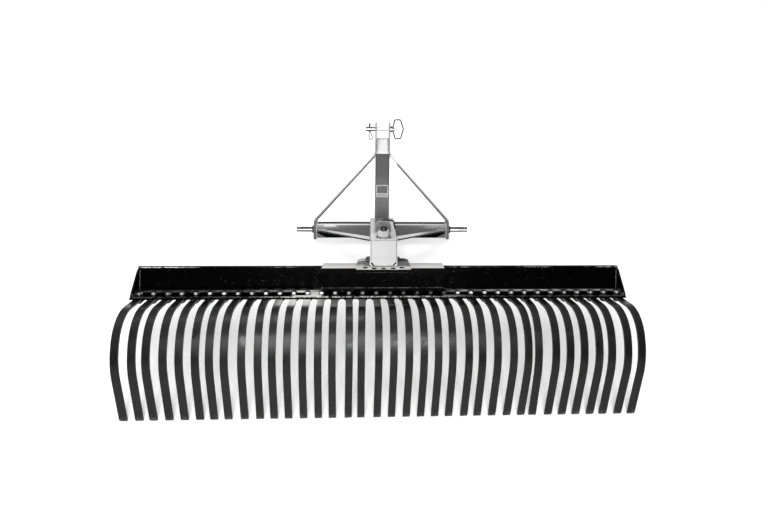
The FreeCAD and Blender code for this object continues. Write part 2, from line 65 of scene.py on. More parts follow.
# driving sizes of the part, level frame, mm
Z_FLANGE, BAR_T, Z_BAR_TOP = 387.0, 9.525, 488.6
Z_CA_TOP, Z_IP_TOP = 494.95, 504.475
TINE_T, PITCH, BOLT_Y = 7.94, 50.8, -40.0
Z_BOOM, Z_BOOM_TOP = 505.075, 606.675
KING_Y, HITCH_Y, PIN_Y = -30.0, 330.0, 355.4
HALF_OUT, STRAP_T = 302.0, 12.7
XB_HALF = HALF_OUT - STRAP_T


# ------------------------------------------------------------------ mesh tools
class Build:
    """Collects level-frame millimetre geometry and makes one object of it."""

    def __init__(self):
        self.v, self.f, self.mi = [], [], []

    def add(self, verts, faces, mi=0):
        n = len(self.v)
        self.v += [tuple(p) for p in verts]
        self.f += [tuple(i + n for i in f) for f in faces]
        self.mi += [mi] * len(faces)

    def rings(self, rings, closed=True, cap0=True, cap1=True, mi=0):
        """Skin through rings of equal length."""
        n, m = len(rings[0]), len(rings)
        verts = [p for r in rings for p in r]
        faces = []
        for j in range(m - 1):
            for i in range(n if closed else n - 1):
                a, b = j * n + i, j * n + (i + 1) % n
                faces.append((a, b, b + n, a + n))
        if cap0:
            faces.append(tuple(reversed(range(n))))
        if cap1:
            faces.append(tuple(range((m - 1) * n, m * n)))
        self.add(verts, faces, mi)

    def lathe(self, prof, seg, at, z_dir=(0, 0, 1), turn=0.0, mi=0):
        """Profile of (radius, height) turned about an axis through at."""
        z = Vector(z_dir).normalized()
        x = z.orthogonal().normalized() if abs(z.z) < 0.99 else Vector((1, 0, 0))
        x = (x - z * x.dot(z)).normalized()
        y = z.cross(x)
        rings = []
        for r, h in prof:
            rings.append([Vector(at) + z * h + (x * math.cos(turn + 2 * math.pi * i / seg)
                          + y * math.sin(turn + 2 * math.pi * i / seg)) * r for i in range(seg)])
        self.rings(rings, mi=mi)

    def hexagon(self, af, h, at, z_dir=(0, 0, 1), turn=0.0, seg=36, both=False, bore=None, mi=0):
        """Hexagon head or nut with turned-off corners."""
        z = Vector(z_dir).normalized()
        x = Vector((1, 0, 0)) if abs(z.x) < 0.9 else Vector((0, 1, 0))
        x = (x - z * x.dot(z)).normalized()
        y = z.cross(x)
        rc = af / 2.0 * 0.955
        rings = []

        def ring(fr, fh):
            out = []
            for i in range(seg):
                a = 2 * math.pi * i / seg
                k = (math.degrees(a) + 30.0) % 60.0 - 30.0
                rh = af / 2.0 / math.cos(math.radians(k))
                r = fr(rh)
                out.append(Vector(at) + z * fh(rh) + (x * math.cos(a + turn) + y * math.sin(a + turn)) * r)
            return out
        t30 = math.tan(math.radians(28.0))
        if both:
            rings.append(ring(lambda r: rc, lambda r: 0.0))
            rings.append(ring(lambda r: r, lambda r: t30 * (r - rc)))
        else:
            rings.append(ring(lambda r: rc, lambda r: 0.0))
            rings.append(ring(lambda r: rc, lambda r: 0.5))
            rings.append(ring(lambda r: r, lambda r: 0.5))
        rings.append(ring(lambda r: r, lambda r: h - t30 * (r - rc)))
        rings.append(ring(lambda r: rc, lambda r: h))
        if bore:
            rings.append(ring(lambda r: bore + 0.9, lambda r: h))
            rings.append(ring(lambda r: bore, lambda r: h - 0.9))
        else:
            rings.append(ring(lambda r: rc * 0.55, lambda r: h + 0.05))
        self.rings(rings, mi=mi)

    def thread(self, r, pitch, z0, z1, at, z_dir=(0, 0, 1), seg=20, mi=0, lead=0.8):
        """Threaded rod end: ridges of the given pitch with a chamfered tip."""
        depth = pitch * 0.52
        prof = [(r - depth, z0)]
        z = z0
        while z + pitch < z1 - lead:
            prof += [(r - depth, z + pitch * 0.12), (r, z + pitch * 0.44), (r, z + pitch * 0.56), (r - depth, z + pitch * 0.88)]
            z += pitch
        prof += [(r - depth, z1 - lead * 0.6), (r - depth - lead * 0.7, z1)]
        self.lathe(prof, seg, at, z_dir, mi=mi)

    def bead(self, pts, r, pitch=3.2, step=1.1, seed=1, flat=1.0, closed=False, mi=0, n=8, wander=0.25):
        """Weld bead: a rippled cord laid along a polyline, with soft lumpy ends."""
        rnd = random.Random(seed)
        pts = [Vector(p) for p in pts]
        if closed:
            pts.append(pts[0].copy())
        segs = [(pts[i], pts[i + 1], (pts[i + 1] - pts[i]).length) for i in range(len(pts) - 1)]
        total = sum(s[2] for s in segs)
        m = max(4, int(total / step))
        centres, dirs = [], []
        for j in range(m + 1):
            s = total * j / m
            k = s
            for a, b, length in segs:
                if k <= length + 1e-9 or (a, b, length) == segs[-1]:
                    centres.append(a.lerp(b, min(1.0, k / max(length, 1e-9))))
                    dirs.append((b - a).normalized())
                    break
                k -= length
        rings = []
        off = 0.0
        for j, (c, d) in enumerate(zip(centres, dirs)):
            if 0 < j < m:
                d = (dirs[j - 1] + dirs[min(j + 1, m)]).normalized() if (dirs[j - 1] + dirs[min(j + 1, m)]).length > 0.2 else d
            u = d.orthogonal().normalized()
            w = d.cross(u)
            s = total * j / m
            ph = (s / pitch + off) % 1.0
            off += rnd.uniform(-0.03, 0.03)
            rr = r * (0.90 + 0.17 * math.sin(math.pi * ph) ** 0.7 + rnd.uniform(-0.03, 0.03))
            end = min(s, total - s)
            if not closed and end < r * 0.9:
                rr *= 0.35 + 0.65 * math.sqrt(max(0.0, end / (r * 0.9)))
            c = c + u * rnd.uniform(-wander, wander) + w * rnd.uniform(-wander, wander)
            rings.append([c + (u * math.cos(2 * math.pi * i / n) + w * math.sin(2 * math.pi * i / n)) * rr for i in range(n)])
        self.rings(rings, mi=mi)

    def slab(self, x0, x1, y0, y1, z0, z1, bev=0.2, mi=0):
        """Small plate in the X-Z plane with its rear edges eased."""
        rings = []
        for y, e in ((y1, 0.0), (y0 + bev, 0.0), (y0, bev)):
            rings.append([(x0 + e, y, z0 + e), (x1 - e, y, z0 + e), (x1 - e, y, z1 - e), (x0 + e, y, z1 - e)])
        rings = [list(reversed(r)) for r in rings]
        self.rings([[Vector(p) for p in r] for r in rings], mi=mi)

    def make(self, name, body, mats, angle=38.0, smooth=True):
        me = bpy.data.meshes.new(name)
        me.from_pydata([TO_ROW @ (Vector(p) / 1000.0) for p in self.v], [], self.f)
        me.update()
        for i, p in enumerate(me.polygons):
            p.material_index = self.mi[i]
            p.use_smooth = smooth
        import bmesh
        bm = bmesh.new()
        bm.from_mesh(me)
        bmesh.ops.recalc_face_normals(bm, faces=bm.faces)
        bm.to_mesh(me)
        bm.free()
        if smooth:
            me.set_sharp_from_angle(angle=math.radians(angle))
        for m in (mats if isinstance(mats, (list, tuple)) else [mats]):
            me.materials.append(m)
        ob = bpy.data.objects.new(name, me)
        SCENE.collection.objects.link(ob)
        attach(ob, body)
        return ob


# ------------------------------------------------------------------ material tools
class Mat:
    def __init__(self, name):
        self.m = bpy.data.materials.new(name)
        self.m.use_nodes = True
        self.t = self.m.node_tree
        self.t.nodes.clear()
        self.out = self.n("ShaderNodeOutputMaterial")
        self.bsdf = self.n("ShaderNodeBsdfPrincipled")
        self.l(self.bsdf.outputs[0], self.out.inputs[0])
        tc = self.n("ShaderNodeTexCoord")
        # level-frame coordinates in metres, so that marks follow the parts
        mp = self.n("ShaderNodeMapping")
        mp.vector_type = "POINT"
        mp.inputs["Rotation"].default_value = (LEAN, 0.0, 0.0)
        off = TO_LEVEL.to_translation()
        mp.inputs["Location"].default_value = off
        self.l(tc.outputs["Object"], mp.inputs["Vector"])
        self.P = mp.outputs[0]
        nm = self.n("ShaderNodeVectorRotate", rotation_type="X_AXIS")
        nm.inputs["Angle"].default_value = LEAN
        self.l(tc.outputs["Normal"], nm.inputs["Vector"])
        sp = self.n("ShaderNodeSeparateXYZ")
        self.l(nm.outputs[0], sp.inputs[0])
        self.nx, self.ny, self.nz = sp.outputs
        sx = self.n("ShaderNodeSeparateXYZ")
        self.l(self.P, sx.inputs[0])
        self.x, self.y, self.z = sx.outputs

    def n(self, kind, **kw):
        node = self.t.nodes.new(kind)
        for k, v in kw.items():
            setattr(node, k, v)
        return node

    def l(self, a, b):
        self.t.links.new(a, b)

    def put(self, sock, v):
        if isinstance(v, bpy.types.NodeSocket):
            self.l(v, sock)
        else:
            sock.default_value = v

    def math(self, op, a, b=0.0, c=0.0, clamp=False):
        node = self.n("ShaderNodeMath", operation=op, use_clamp=clamp)
        for i, v in enumerate((a, b, c)):
            self.put(node.inputs[i], v)
        return node.outputs[0]

    def mul(self, a, b):
        return self.math("MULTIPLY", a, b)

    def step(self, v, lo, hi, a=0.0, b=1.0):
        node = self.n("ShaderNodeMapRange", interpolation_type="SMOOTHSTEP")
        self.put(node.inputs["Value"], v)
        for k, x in (("From Min", lo), ("From Max", hi), ("To Min", a), ("To Max", b)):
            node.inputs[k].default_value = x
        return node.outputs[0]

    def lin(self, v, lo, hi, a=0.0, b=1.0):
        node = self.n("ShaderNodeMapRange")
        self.put(node.inputs["Value"], v)
        for k, x in (("From Min", lo), ("From Max", hi), ("To Min", a), ("To Max", b)):
            node.inputs[k].default_value = x
        return node.outputs[0]

    def noise(self, scale, detail=3.0, rough=0.55, dist=0.0, squash=None, seed=0.0):
        node = self.n("ShaderNodeTexNoise", noise_dimensions="3D")
        node.inputs["Scale"].default_value = scale
        node.inputs["Detail"].default_value = detail
        node.inputs["Roughness"].default_value = rough
        node.inputs["Distortion"].default_value = dist
        v = self.P
        if squash or seed:
            mp = self.n("ShaderNodeMapping")
            mp.inputs["Scale"].default_value = squash or (1, 1, 1)
            mp.inputs["Location"].default_value = (seed, seed * 1.7, -seed)
            self.l(self.P, mp.inputs[0])
            v = mp.outputs[0]
        self.l(v, node.inputs["Vector"])
        return node.outputs[0]

    def cells(self, scale, feature="F1", rnd=1.0, squash=None):
        node = self.n("ShaderNodeTexVoronoi", feature=feature)
        node.inputs["Scale"].default_value = scale
        node.inputs["Randomness"].default_value = rnd
        v = self.P
        if squash:
            mp = self.n("ShaderNodeMapping")
            mp.inputs["Scale"].default_value = squash
            self.l(self.P, mp.inputs[0])
            v = mp.outputs[0]
        self.l(v, node.inputs["Vector"])
        return node

    def mix(self, f, a, b):
        node = self.n("ShaderNodeMix", data_type="RGBA")
        self.put(node.inputs["Factor"], f)
        self.put(node.inputs[6], a)
        self.put(node.inputs[7], b)
        return node.outputs[2]

    def mixf(self, f, a, b):
        node = self.n("ShaderNodeMix", data_type="FLOAT")
        self.put(node.inputs["Factor"], f)
        self.put(node.inputs[2], a)
        self.put(node.inputs[3], b)
        return node.outputs[0]

    def edges(self, radius=0.0015, gain=3.0):
        """1 at sharp edges, 0 on flats."""
        bv = self.n("ShaderNodeBevel", samples=4)
        bv.inputs["Radius"].default_value = radius
        g = self.n("ShaderNodeNewGeometry")
        dot = self.n("ShaderNodeVectorMath", operation="DOT_PRODUCT")
        self.l(bv.outputs[0], dot.inputs[0])
        self.l(g.outputs["Normal"], dot.inputs[1])
        inv = self.math("SUBTRACT", 1.0, dot.outputs["Value"])
        return self.math("MULTIPLY", inv, gain, clamp=True)

    def set(self, **kw):
        for k, v in kw.items():
            self.put(self.bsdf.inputs[k.replace("_", " ")], v)

    def bump(self, height, dist=0.0005, strength=0.5):
        b = self.n("ShaderNodeBump")
        b.inputs["Strength"].default_value = strength
        b.inputs["Distance"].default_value = dist
        self.l(height, b.inputs["Height"])
        self.l(b.outputs[0], self.bsdf.inputs["Normal"])


def grey(v, t=0.0):
    """A near neutral colour; t tints it slightly warm."""
    return (v * (1 + t), v, v * (1 - t), 1.0)


def steel_bar_black(name, kind):
    """Thick gloss black paint over rolled steel, scuffed along its edges, with dust specks; some kinds carry painted
    highlights and reflections.
    """
    m = Mat(name)
    big = m.noise(5.0, 4.0, 0.6)
    mid = m.noise(60.0, 4.0, 0.6, seed=3.1)
    fine = m.noise(700.0, 3.0, 0.6, seed=7.7)
    edge = m.edges(0.0016, 5.0)
    # broken wear along edges
    rub = m.noise(38.0, 5.0, 0.7, squash=(0.45, 1.6, 1.6), seed=1.3)
    worn = m.mul(m.mul(m.step(rub, 0.54, 0.70), m.step(edge, 0.15, 0.75)), 0.55)
    # small chips and dust specks on the faces, denser in patches
    light = worn
    crowd = m.mul(m.step(m.x, -0.56, -0.36), m.step(m.x, -0.12, -0.24))
    crowd = m.math("MAXIMUM", crowd, m.mul(m.mul(m.step(m.x, 0.20, 0.27), m.step(m.x, 0.52, 0.36)), 0.6))
    crowd = m.math("ADD", m.mul(crowd, 0.85), 0.30)
    for scale, seed, most in ((210.0, 0.0, 0.24), (380.0, 5.0, 0.26)):
        vor = m.cells(scale)
        dots = m.step(vor.outputs["Distance"], 0.34, 0.14)
        rare = m.n("ShaderNodeSeparateColor")
        m.l(vor.outputs["Color"], rare.inputs[0])
        patch = m.step(m.noise(6.0, 3.0, 0.6, squash=(0.8, 1.0, 2.2), seed=9.0 + seed), 0.46, 0.72)
        keep = m.math("LESS_THAN", rare.outputs[0], m.mul(m.mul(patch, crowd), most))
        light = m.math("MAXIMUM", light, m.mul(m.mul(dots, keep), m.lin(rare.outputs[1], 0.0, 1.0, 0.03, 0.15)))
    # hairline scratches
    scr = m.noise(420.0, 2.0, 0.5, squash=(0.035, 1.0, 0.5), seed=4.0)
    light = m.math("MAXIMUM", light, m.mul(m.mul(m.step(scr, 0.715, 0.76), m.step(mid, 0.45, 0.62)), 0.07))
    rear = m.step(m.ny, -0.75, -0.92)
    top = m.step(m.nz, 0.75, 0.93)
    dash = m.noise(34.0, 4.0, 0.75, squash=(1.0, 0.2, 0.2), seed=3.3)

    def line(z, half):
        return m.step(m.math("ABSOLUTE", m.math("SUBTRACT", m.z, z)), half, half * 0.35)
    ax = m.math("ABSOLUTE", m.x)
    base = m.mix(big, grey(0.0005), grey(0.0011, 0.02))
    tone = grey(0.55, 0.01)
    if kind == "bar":
        # light line just under the top edge, strongest at the two ends: scraping plus a painted highlight of the
        # rounded edge
        ends = m.math("MAXIMUM", m.step(m.x, -0.66, -0.78), m.mul(m.step(m.x, 0.77, 0.84), 0.45))
        ends = m.math("MAXIMUM", ends, m.mul(m.step(m.noise(4.0, 2.0, 0.5, seed=2.7), 0.50, 0.66), 0.28))
        scrape_and_highlight = m.mul(m.mul(m.mul(line(0.4853, 0.0019), rear), m.step(dash, 0.40, 0.56)), ends)
        # painted glint on the flange just left of the stiffener, fainter on its right
        flat = m.mul(m.step(m.nz, 0.80, 0.95), m.step(m.z, 0.402, 0.398))
        left = m.mul(m.step(m.x, -0.345, -0.318), m.step(m.x, -0.222, -0.230))
        right = m.mul(m.mul(m.step(m.x, 0.345, 0.27), m.step(m.x, 0.222, 0.230)), 0.22)
        highlight_strip = m.math("MAXIMUM", m.step(m.y, -0.050, -0.054), m.step(m.y, -0.024, -0.019))
        highlight_strip = m.math("MAXIMUM", highlight_strip, m.mul(m.step(m.x, -0.276, -0.270), m.step(m.x, 0.0, -0.1)))
        glint = m.mul(m.mul(flat, m.math("MAXIMUM", left, right)), m.mul(highlight_strip, m.step(m.noise(26.0, 4.0, 0.65, squash=(0.35, 2.0, 1.0), seed=2.0), 0.24, 0.44)))
        # painted highlight along the flange's rear toe, broken up, strongest under the stiffener
        toe = m.mul(m.step(m.y, -0.0585, -0.0635), m.step(m.z, 0.3915, 0.3950))
        mid_x = m.math("ADD", m.step(m.math("ABSOLUTE", m.math("ADD", m.x, 0.10)), 0.42, 0.20), 0.10)
        toe_highlight = m.mul(m.mul(toe, m.step(m.noise(75.0, 5.0, 0.75, squash=(0.8, 1.0, 1.0), seed=12.0), 0.42, 0.60)), m.mul(mid_x, 0.62))
        # faint painted highlight in the inside corner of the flange, away from the stiffener
        corner_highlight = m.mul(m.mul(m.step(m.y, -0.0165, -0.0145), m.step(m.nz, 0.5, 0.9)), m.step(m.z, 0.402, 0.398))
        corner_highlight = m.mul(m.mul(corner_highlight, m.step(ax, 0.222, 0.230)), m.mul(m.step(dash, 0.30, 0.60), m.lin(m.x, -0.70, -0.25, 0.10, 0.42)))
        light = m.math("MAXIMUM", light, m.math("MAXIMUM", m.math("MAXIMUM", scrape_and_highlight, corner_highlight), m.math("MAXIMUM", glint, toe_highlight)))
        tone = grey(0.80, 0.01)
    if kind == "stiffener":
        # painted reflection: the top face is light, most near its rear edge
        streak = m.noise(30.0, 4.0, 0.6, squash=(0.25, 1.5, 1.0), seed=6.0)
        near = m.lin(m.y, -0.045, 0.012, 1.0, 0.55)
        light = m.math("MAXIMUM", light, m.mul(m.mul(top, near), m.lin(streak, 0.25, 0.75, 0.76, 1.0)))
        low = m.mul(m.mul(line(0.4213, 0.0022), rear), m.step(dash, 0.36, 0.60))
        high = m.mul(m.mul(line(0.4795, 0.0018), rear), m.mul(m.step(dash, 0.38, 0.56), m.step(ax, 0.105, 0.08)))
        light = m.math("MAXIMUM", light, m.math("MAXIMUM", m.mul(low, 0.10), m.mul(high, 0.10)))
        tone = grey(0.84, 0.01)
    if kind == "index":
        streak = m.noise(24.0, 5.0, 0.65, squash=(0.6, 1.2, 1.0), seed=6.0)
        # painted reflection on the top: a light rim along the rear edge, the left wing, a patch further forward on the
        # left, and light streaks fading to the right
        rim = m.mul(top, m.step(m.y, -0.044, -0.060))
        wing = m.mul(m.mul(top, m.step(m.y, -0.020, -0.046)), m.mul(m.step(m.x, -0.058, -0.084), 0.80))
        patch2 = m.mul(m.mul(top, m.step(m.y, 0.010, 0.018)), m.mul(m.step(m.x, -0.066, -0.071), 0.90))
        rim = m.math("MAXIMUM", rim, m.math("MAXIMUM", wing, patch2))
        light = m.math("MAXIMUM", light, m.mul(rim, m.lin(streak, 0.3, 0.7, 0.55, 0.90)))
        light = m.math("MAXIMUM", light, m.mul(m.mul(top, m.step(streak, 0.40, 0.66)), m.lin(m.x, -0.10, 0.06, 0.42, 0.03)))
        tone = grey(0.72, 0.01)
    if kind == "end":
        # scraped patches by the lower corner
        spot = m.mul(m.step(m.noise(70.0, 4.0, 0.7, seed=14.0), 0.50, 0.62), m.step(m.z, 0.412, 0.402))
        light = m.math("MAXIMUM", light, m.mul(spot, 0.25))
    col = m.mix(light, base, tone)
    m.set(Base_Color=col, Roughness=m.mixf(light, m.lin(mid, 0.3, 0.7, 0.10, 0.17), 0.45),
          Specular_IOR_Level=0.07)
    h = m.math("ADD", m.mul(fine, 0.20), m.math("ADD", m.mul(mid, 0.5), m.mul(light, -0.5)))
    m.bump(h, 0.0004, 0.25)
    return m.m


def tine_paint(name):
    """Semi-gloss dark dip paint on spring steel strip, each strip a little different, with painted light towards the
    middle of the row and a painted glint near the roots.
    """
    m = Mat(name)
    g = m.n("ShaderNodeNewGeometry")
    isl = g.outputs["Random Per Island"]
    big = m.noise(16.0, 4.0, 0.62, seed=2.2)
    stain = m.noise(34.0, 3.0, 0.6, squash=(0.6, 1.0, 0.35), seed=8.2)
    fine = m.noise(900.0, 2.0, 0.6, seed=5.0)
    streak = m.noise(300.0, 3.0, 0.6, squash=(1.0, 0.05, 0.05), seed=1.2)
    edge = m.edges(0.0010, 4.0)
    # painted light: the strips are lighter towards the middle of the row and darker towards the ends
    side = m.step(m.math("ABSOLUTE", m.math("ADD", m.x, 0.12)), 0.90, 0.25)
    tone = m.math("ADD", m.lin(big, 0.25, 0.75, 0.0022, 0.0048), m.lin(isl, 0.0, 1.0, -0.0015, 0.002))
    tone = m.math("ADD", tone, m.mul(side, 0.002))
    tone = m.math("MULTIPLY", tone, m.lin(stain, 0.34, 0.66, 0.70, 1.15))
    c = m.n("ShaderNodeCombineColor")
    m.l(m.mul(tone, 1.01), c.inputs[0])
    m.l(tone, c.inputs[1])
    m.l(m.mul(tone, 0.98), c.inputs[2])
    rub = m.noise(60.0, 4.0, 0.7, squash=(1.0, 0.4, 0.4), seed=11.0)
    worn = m.math("MULTIPLY", m.step(rub, 0.52, 0.68), m.step(edge, 0.25, 0.9))
    scr = m.noise(520.0, 2.0, 0.5, squash=(1.0, 0.03, 0.03), seed=6.0)
    soil = m.mul(m.step(m.z, 0.030, 0.004), m.step(m.noise(90.0, 4.0, 0.65, seed=4.4), 0.42, 0.62))
    light = m.math("MAXIMUM", m.mul(worn, 0.30), m.mul(m.step(scr, 0.72, 0.77), 0.14))
    light = m.math("MAXIMUM", light, m.mul(soil, 0.16))
    # dust lying on the flat just behind the toolbar, near the middle, with a painted glint added just left of the
    # stiffener
    flat = m.mul(m.mul(m.step(m.nz, 0.984, 0.998), m.step(m.z, 0.380, 0.384)), m.mul(m.step(m.x, -0.46, -0.30), m.step(m.x, 0.06, -0.06)))
    near = m.mul(m.step(m.x, -0.355, -0.325), m.step(m.x, -0.215, -0.240))
    light = m.math("MAXIMUM", light, m.mul(flat, m.math("ADD", m.lin(big, 0.3, 0.7, 0.22, 0.50), m.mul(near, 0.10))))
    lip = m.mul(m.mul(m.step(m.y, -0.1225, -0.1240), m.step(m.y, -0.1285, -0.1270)), m.mul(m.step(m.nz, 0.9, 0.97), m.mul(m.step(m.x, -0.46, -0.30), m.step(m.x, 0.12, 0.0))))
    light = m.math("MAXIMUM", light, m.mul(lip, 0.55))
    col = m.mix(light, c.outputs[0], grey(0.34, 0.01))
    # pale patches on the strips' roots left of the stiffener: dust plus a painted glint
    root = m.mul(m.mul(m.step(m.nz, 0.955, 0.996), m.step(m.z, 0.374, 0.383)), m.step(m.y, -0.131, -0.114))
    run = m.mul(m.step(m.x, -0.415, -0.335), m.step(m.x, -0.195, -0.265))
    pale = m.mul(m.mul(root, run), m.lin(stain, 0.30, 0.62, 0.65, 1.0))
    col = m.mix(pale, col, grey(0.86, 0.01))
    rough = m.math("ADD", m.lin(big, 0.3, 0.7, 0.33, 0.41), m.math("ADD", m.lin(streak, 0.3, 0.7, -0.03, 0.05), m.lin(isl, 0.0, 1.0, -0.05, 0.07)))
    rough = m.math("ADD", rough, m.step(m.z, 0.255, 0.185, 0.0, 0.30))
    glint = m.mul(m.step(m.noise(26.0, 2.0, 0.5, squash=(1.0, 0.6, 0.6), seed=16.0), 0.47, 0.66), m.step(isl, 0.30, 0.60))
    rough = m.math("SUBTRACT", rough, m.mul(m.mul(glint, 0.24), m.step(m.z, 0.26, 0.29)))
    m.set(Base_Color=col, Roughness=m.mixf(light, rough, 0.5), Specular_IOR_Level=0.30)
    m.bump(m.math("ADD", m.mul(fine, 0.35), m.math("ADD", m.mul(streak, 0.35), m.mul(big, 0.3))), 0.00035, 0.35)
    return m.m


def silver(name, base=0.150, metal=0.0, rough=0.30, fleck=0.14, rub_amt=0.6, grime=0.35, kind=""):
    """Silver-grey metallic spray paint, finely mottled, with grime and rubbed edges; some kinds carry painted
    highlights and shade.
    """
    m = Mat(name)
    big = m.noise(9.0, 4.0, 0.6, seed=1.0)
    mid = m.noise(120.0, 4.0, 0.65, seed=3.0)
    fine = m.noise(1300.0, 2.0, 0.7, seed=2.0)
    edge = m.edges(0.0018, 4.0)
    tone = m.math("MULTIPLY", m.lin(big, 0.25, 0.75, 0.90, 1.08), m.lin(mid, 0.25, 0.75, 1.0 - fleck, 1.0 + fleck))
    tone = m.mul(tone, m.lin(fine, 0.3, 0.7, 0.92, 1.08))
    tone = m.math("MINIMUM", m.mul(tone, base), 0.93)
    c = m.n("ShaderNodeCombineColor")
    for i in range(3):
        m.l(tone, c.inputs[i])
    rub = m.noise(55.0, 5.0, 0.7, seed=8.0)
    worn = m.math("MULTIPLY", m.step(rub, 0.50, 0.64), m.step(edge, 0.2, 0.8))
    col = m.mix(m.mul(worn, rub_amt), c.outputs[0], grey(0.88))
    dirt = m.mul(m.step(m.noise(30.0, 5.0, 0.7, seed=12.0), 0.56, 0.74), grime)
    col = m.mix(dirt, col, grey(0.10, 0.03))
    ax = m.math("ABSOLUTE", m.x)
    rear = m.step(m.ny, -0.75, -0.92)
    if base < 0.4:
        # dust and overspray on what faces up, with a painted highlight that makes the up-facing faces lighter
        dust_and_sheen = m.mul(m.step(m.nz, 0.6, 0.95), m.lin(mid, 0.25, 0.75, 0.72, 0.98))
        if kind == "brace":
            # on the braces the light top fades out towards the outer ends
            dust_and_sheen = m.mul(dust_and_sheen, m.math("MINIMUM", m.lin(ax, 0.225, 0.262, 1.0, 0.25), m.lin(m.x, 0.160, 0.205, 1.0, 0.20)))
        if kind == "boom":
            # painted shade: the boom's top keeps less of the light tone between the mast's foot and the bracket
            clean = m.mul(m.step(ax, 0.034, 0.029), m.step(m.y, 0.070, 0.110))
            dust_and_sheen = m.mul(dust_and_sheen, m.math("SUBTRACT", 1.0, m.mul(clean, 0.9)))
        dust_and_sheen_tone = grey(0.78 if kind in ("brace", "tube") else 0.60)
        if kind == "boom":
            # lighter at the rear left, darker in front of the bracket and on the right: dust plus painted light
            dust_and_sheen_tone = m.mix(m.step(m.y, 0.020, 0.045), grey(0.66), grey(0.44))
            dust_and_sheen_tone = m.mix(m.step(m.x, 0.000, 0.030), dust_and_sheen_tone, grey(0.42))
        col = m.mix(dust_and_sheen, col, dust_and_sheen_tone)
    if kind == "brace":
        # painted shade: the brace's rear-facing edge near black
        col = m.mix(m.mul(m.step(m.ny, -0.2, -0.5), 0.85), col, grey(0.02))
    if kind == "tube":
        # painted shadow in the corner under each brace, and painted shade along the far top edge
        low = m.math("ADD", m.lin(ax, 0.215, 0.2464, 0.5120, 0.5203), m.lin(ax, 0.2464, 0.295, 0.0, 0.0242))
        high = m.lin(ax, 0.058, 0.287, 0.5126, 0.5495)
        brace_shadow = m.mul(m.step(m.math("SUBTRACT", m.z, low), -0.003, 0.001), m.step(m.math("SUBTRACT", m.z, high), 0.001, -0.001))
        brace_shadow = m.mul(m.mul(brace_shadow, m.step(ax, 0.146, 0.164)), rear)
        far_edge_shade = m.mul(m.step(m.y, 0.333, 0.338), m.step(m.nz, 0.1, 0.4))
        # painted sheen on the rear face towards each end
        sheen = m.mul(m.mul(m.step(ax, 0.180, 0.215), m.step(m.z, 0.556, 0.568)), rear)
        col = m.mix(m.mul(sheen, m.lin(mid, 0.3, 0.7, 0.25, 0.55)), col, grey(0.45))
        # painted highlight under the top edge, wider at the left end, fading out to the right
        highlight_strip = m.mul(m.step(m.z, 0.5725, 0.5750), m.lin(m.x, 0.06, 0.27, 1.0, 0.35))
        wide = m.mul(m.mul(m.step(m.x, -0.262, -0.250), m.step(m.x, -0.195, -0.215)), m.step(m.z, 0.5660, 0.5690))
        highlight_strip = m.mul(m.math("MAXIMUM", highlight_strip, wide), m.step(m.ny, -0.10, -0.40))
        col = m.mix(m.mul(highlight_strip, 0.72), col, grey(0.80))
        col = m.mix(m.math("MAXIMUM", brace_shadow, far_edge_shade), col, grey(0.0008))
    if kind == "strap":
        # outer faces are lighter, partly dust and partly painted highlight, and one bar has a painted highlight just
        # below the mast head
        outer = m.mul(m.step(m.nz, 0.45, 0.62), m.lin(m.z, 0.62, 0.80, 0.55, 1.0))
        strap_highlight = m.mul(m.mul(rear, m.step(m.x, 0.020, 0.030)), m.step(m.z, 0.842, 0.852))
        # distance in from the outer corner: a painted highlight runs along it, with painted shade further in
        rim = m.math("SUBTRACT", m.math("ADD", m.mul(ax, 0.7467), m.mul(m.z, 0.6651)), 0.6213)
        strap_edge_highlight = m.mul(m.mul(rear, m.step(rim, -0.0068, -0.0040)), m.lin(m.z, 0.60, 0.84, 0.15, 0.85))
        strap_inner_shade = m.mul(m.mul(rear, m.step(rim, -0.0075, -0.0105)), m.step(m.z, 0.59, 0.62))
        col = m.mix(m.mul(strap_inner_shade, 0.72), col, grey(0.02))
        col = m.mix(m.math("MAXIMUM", outer, m.math("MAXIMUM", strap_edge_highlight, m.mul(strap_highlight, 0.9))), col, grey(0.70))
    if kind == "mast":
        # painted shade: the mast darker towards the top
        col = m.mix(m.lin(m.z, 0.715, 0.80, 0.0, 0.58), col, grey(0.04))
    mt = metal
    if kind == "boom":
        # freshly sawn and ground end of the tube
        end = m.mul(m.step(m.ny, -0.85, -0.95), m.step(m.y, -0.050, -0.056))
        col = m.mix(end, col, grey(0.58))
        mt = m.mixf(end, metal, 0.1)
        # painted shade standing in for open slots in the two lower corners beyond the cap
        up = m.math("SUBTRACT", m.z, Z_BOOM / 1000.0)
        u = m.mul(m.math("SUBTRACT", ax, up), 0.70711)
        v = m.mul(m.math("ADD", ax, up), 0.70711)
        slot_shade = m.mul(m.mul(m.step(u, 0.0195, 0.0205), m.step(u, 0.0265, 0.0255)), m.mul(m.step(v, 0.026, 0.028), m.step(v, 0.045, 0.043)))
        col = m.mix(m.mul(m.mul(slot_shade, end), 0.97), col, grey(0.006))
    if kind == "head":
        # the ears' rear edges beside the web are darker: weld smoke and painted shade
        smoke_and_shade = m.mul(m.mul(m.step(m.ny, -0.6, -0.9), m.step(m.z, 0.962, 0.955)), m.step(m.math("ABSOLUTE", m.x), 0.0245, 0.0262))
        col = m.mix(m.mul(smoke_and_shade, 0.68), col, grey(0.04))
        # painted shade on the ears' rear edges above the web
        upper_ear_shade = m.mul(m.step(m.ny, -0.5, -0.8), m.step(m.z, 0.957, 0.962))
        col = m.mix(m.mul(upper_ear_shade, 0.92), col, grey(0.24))
    ro = m.math("ADD", m.lin(mid, 0.3, 0.7, rough - 0.05, rough + 0.07), m.mul(dirt, 0.4))
    if kind == "tube":
        ro = m.mixf(m.math("MAXIMUM", far_edge_shade, brace_shadow), ro, 1.0)
    m.set(Base_Color=col, Metallic=mt, Roughness=ro)
    m.bsdf.inputs["Specular Tint"].default_value = grey(0.12)
    m.bump(m.math("ADD", m.mul(fine, 0.4), m.mul(mid, 0.6)), 0.0004, 0.30)
    return m.m


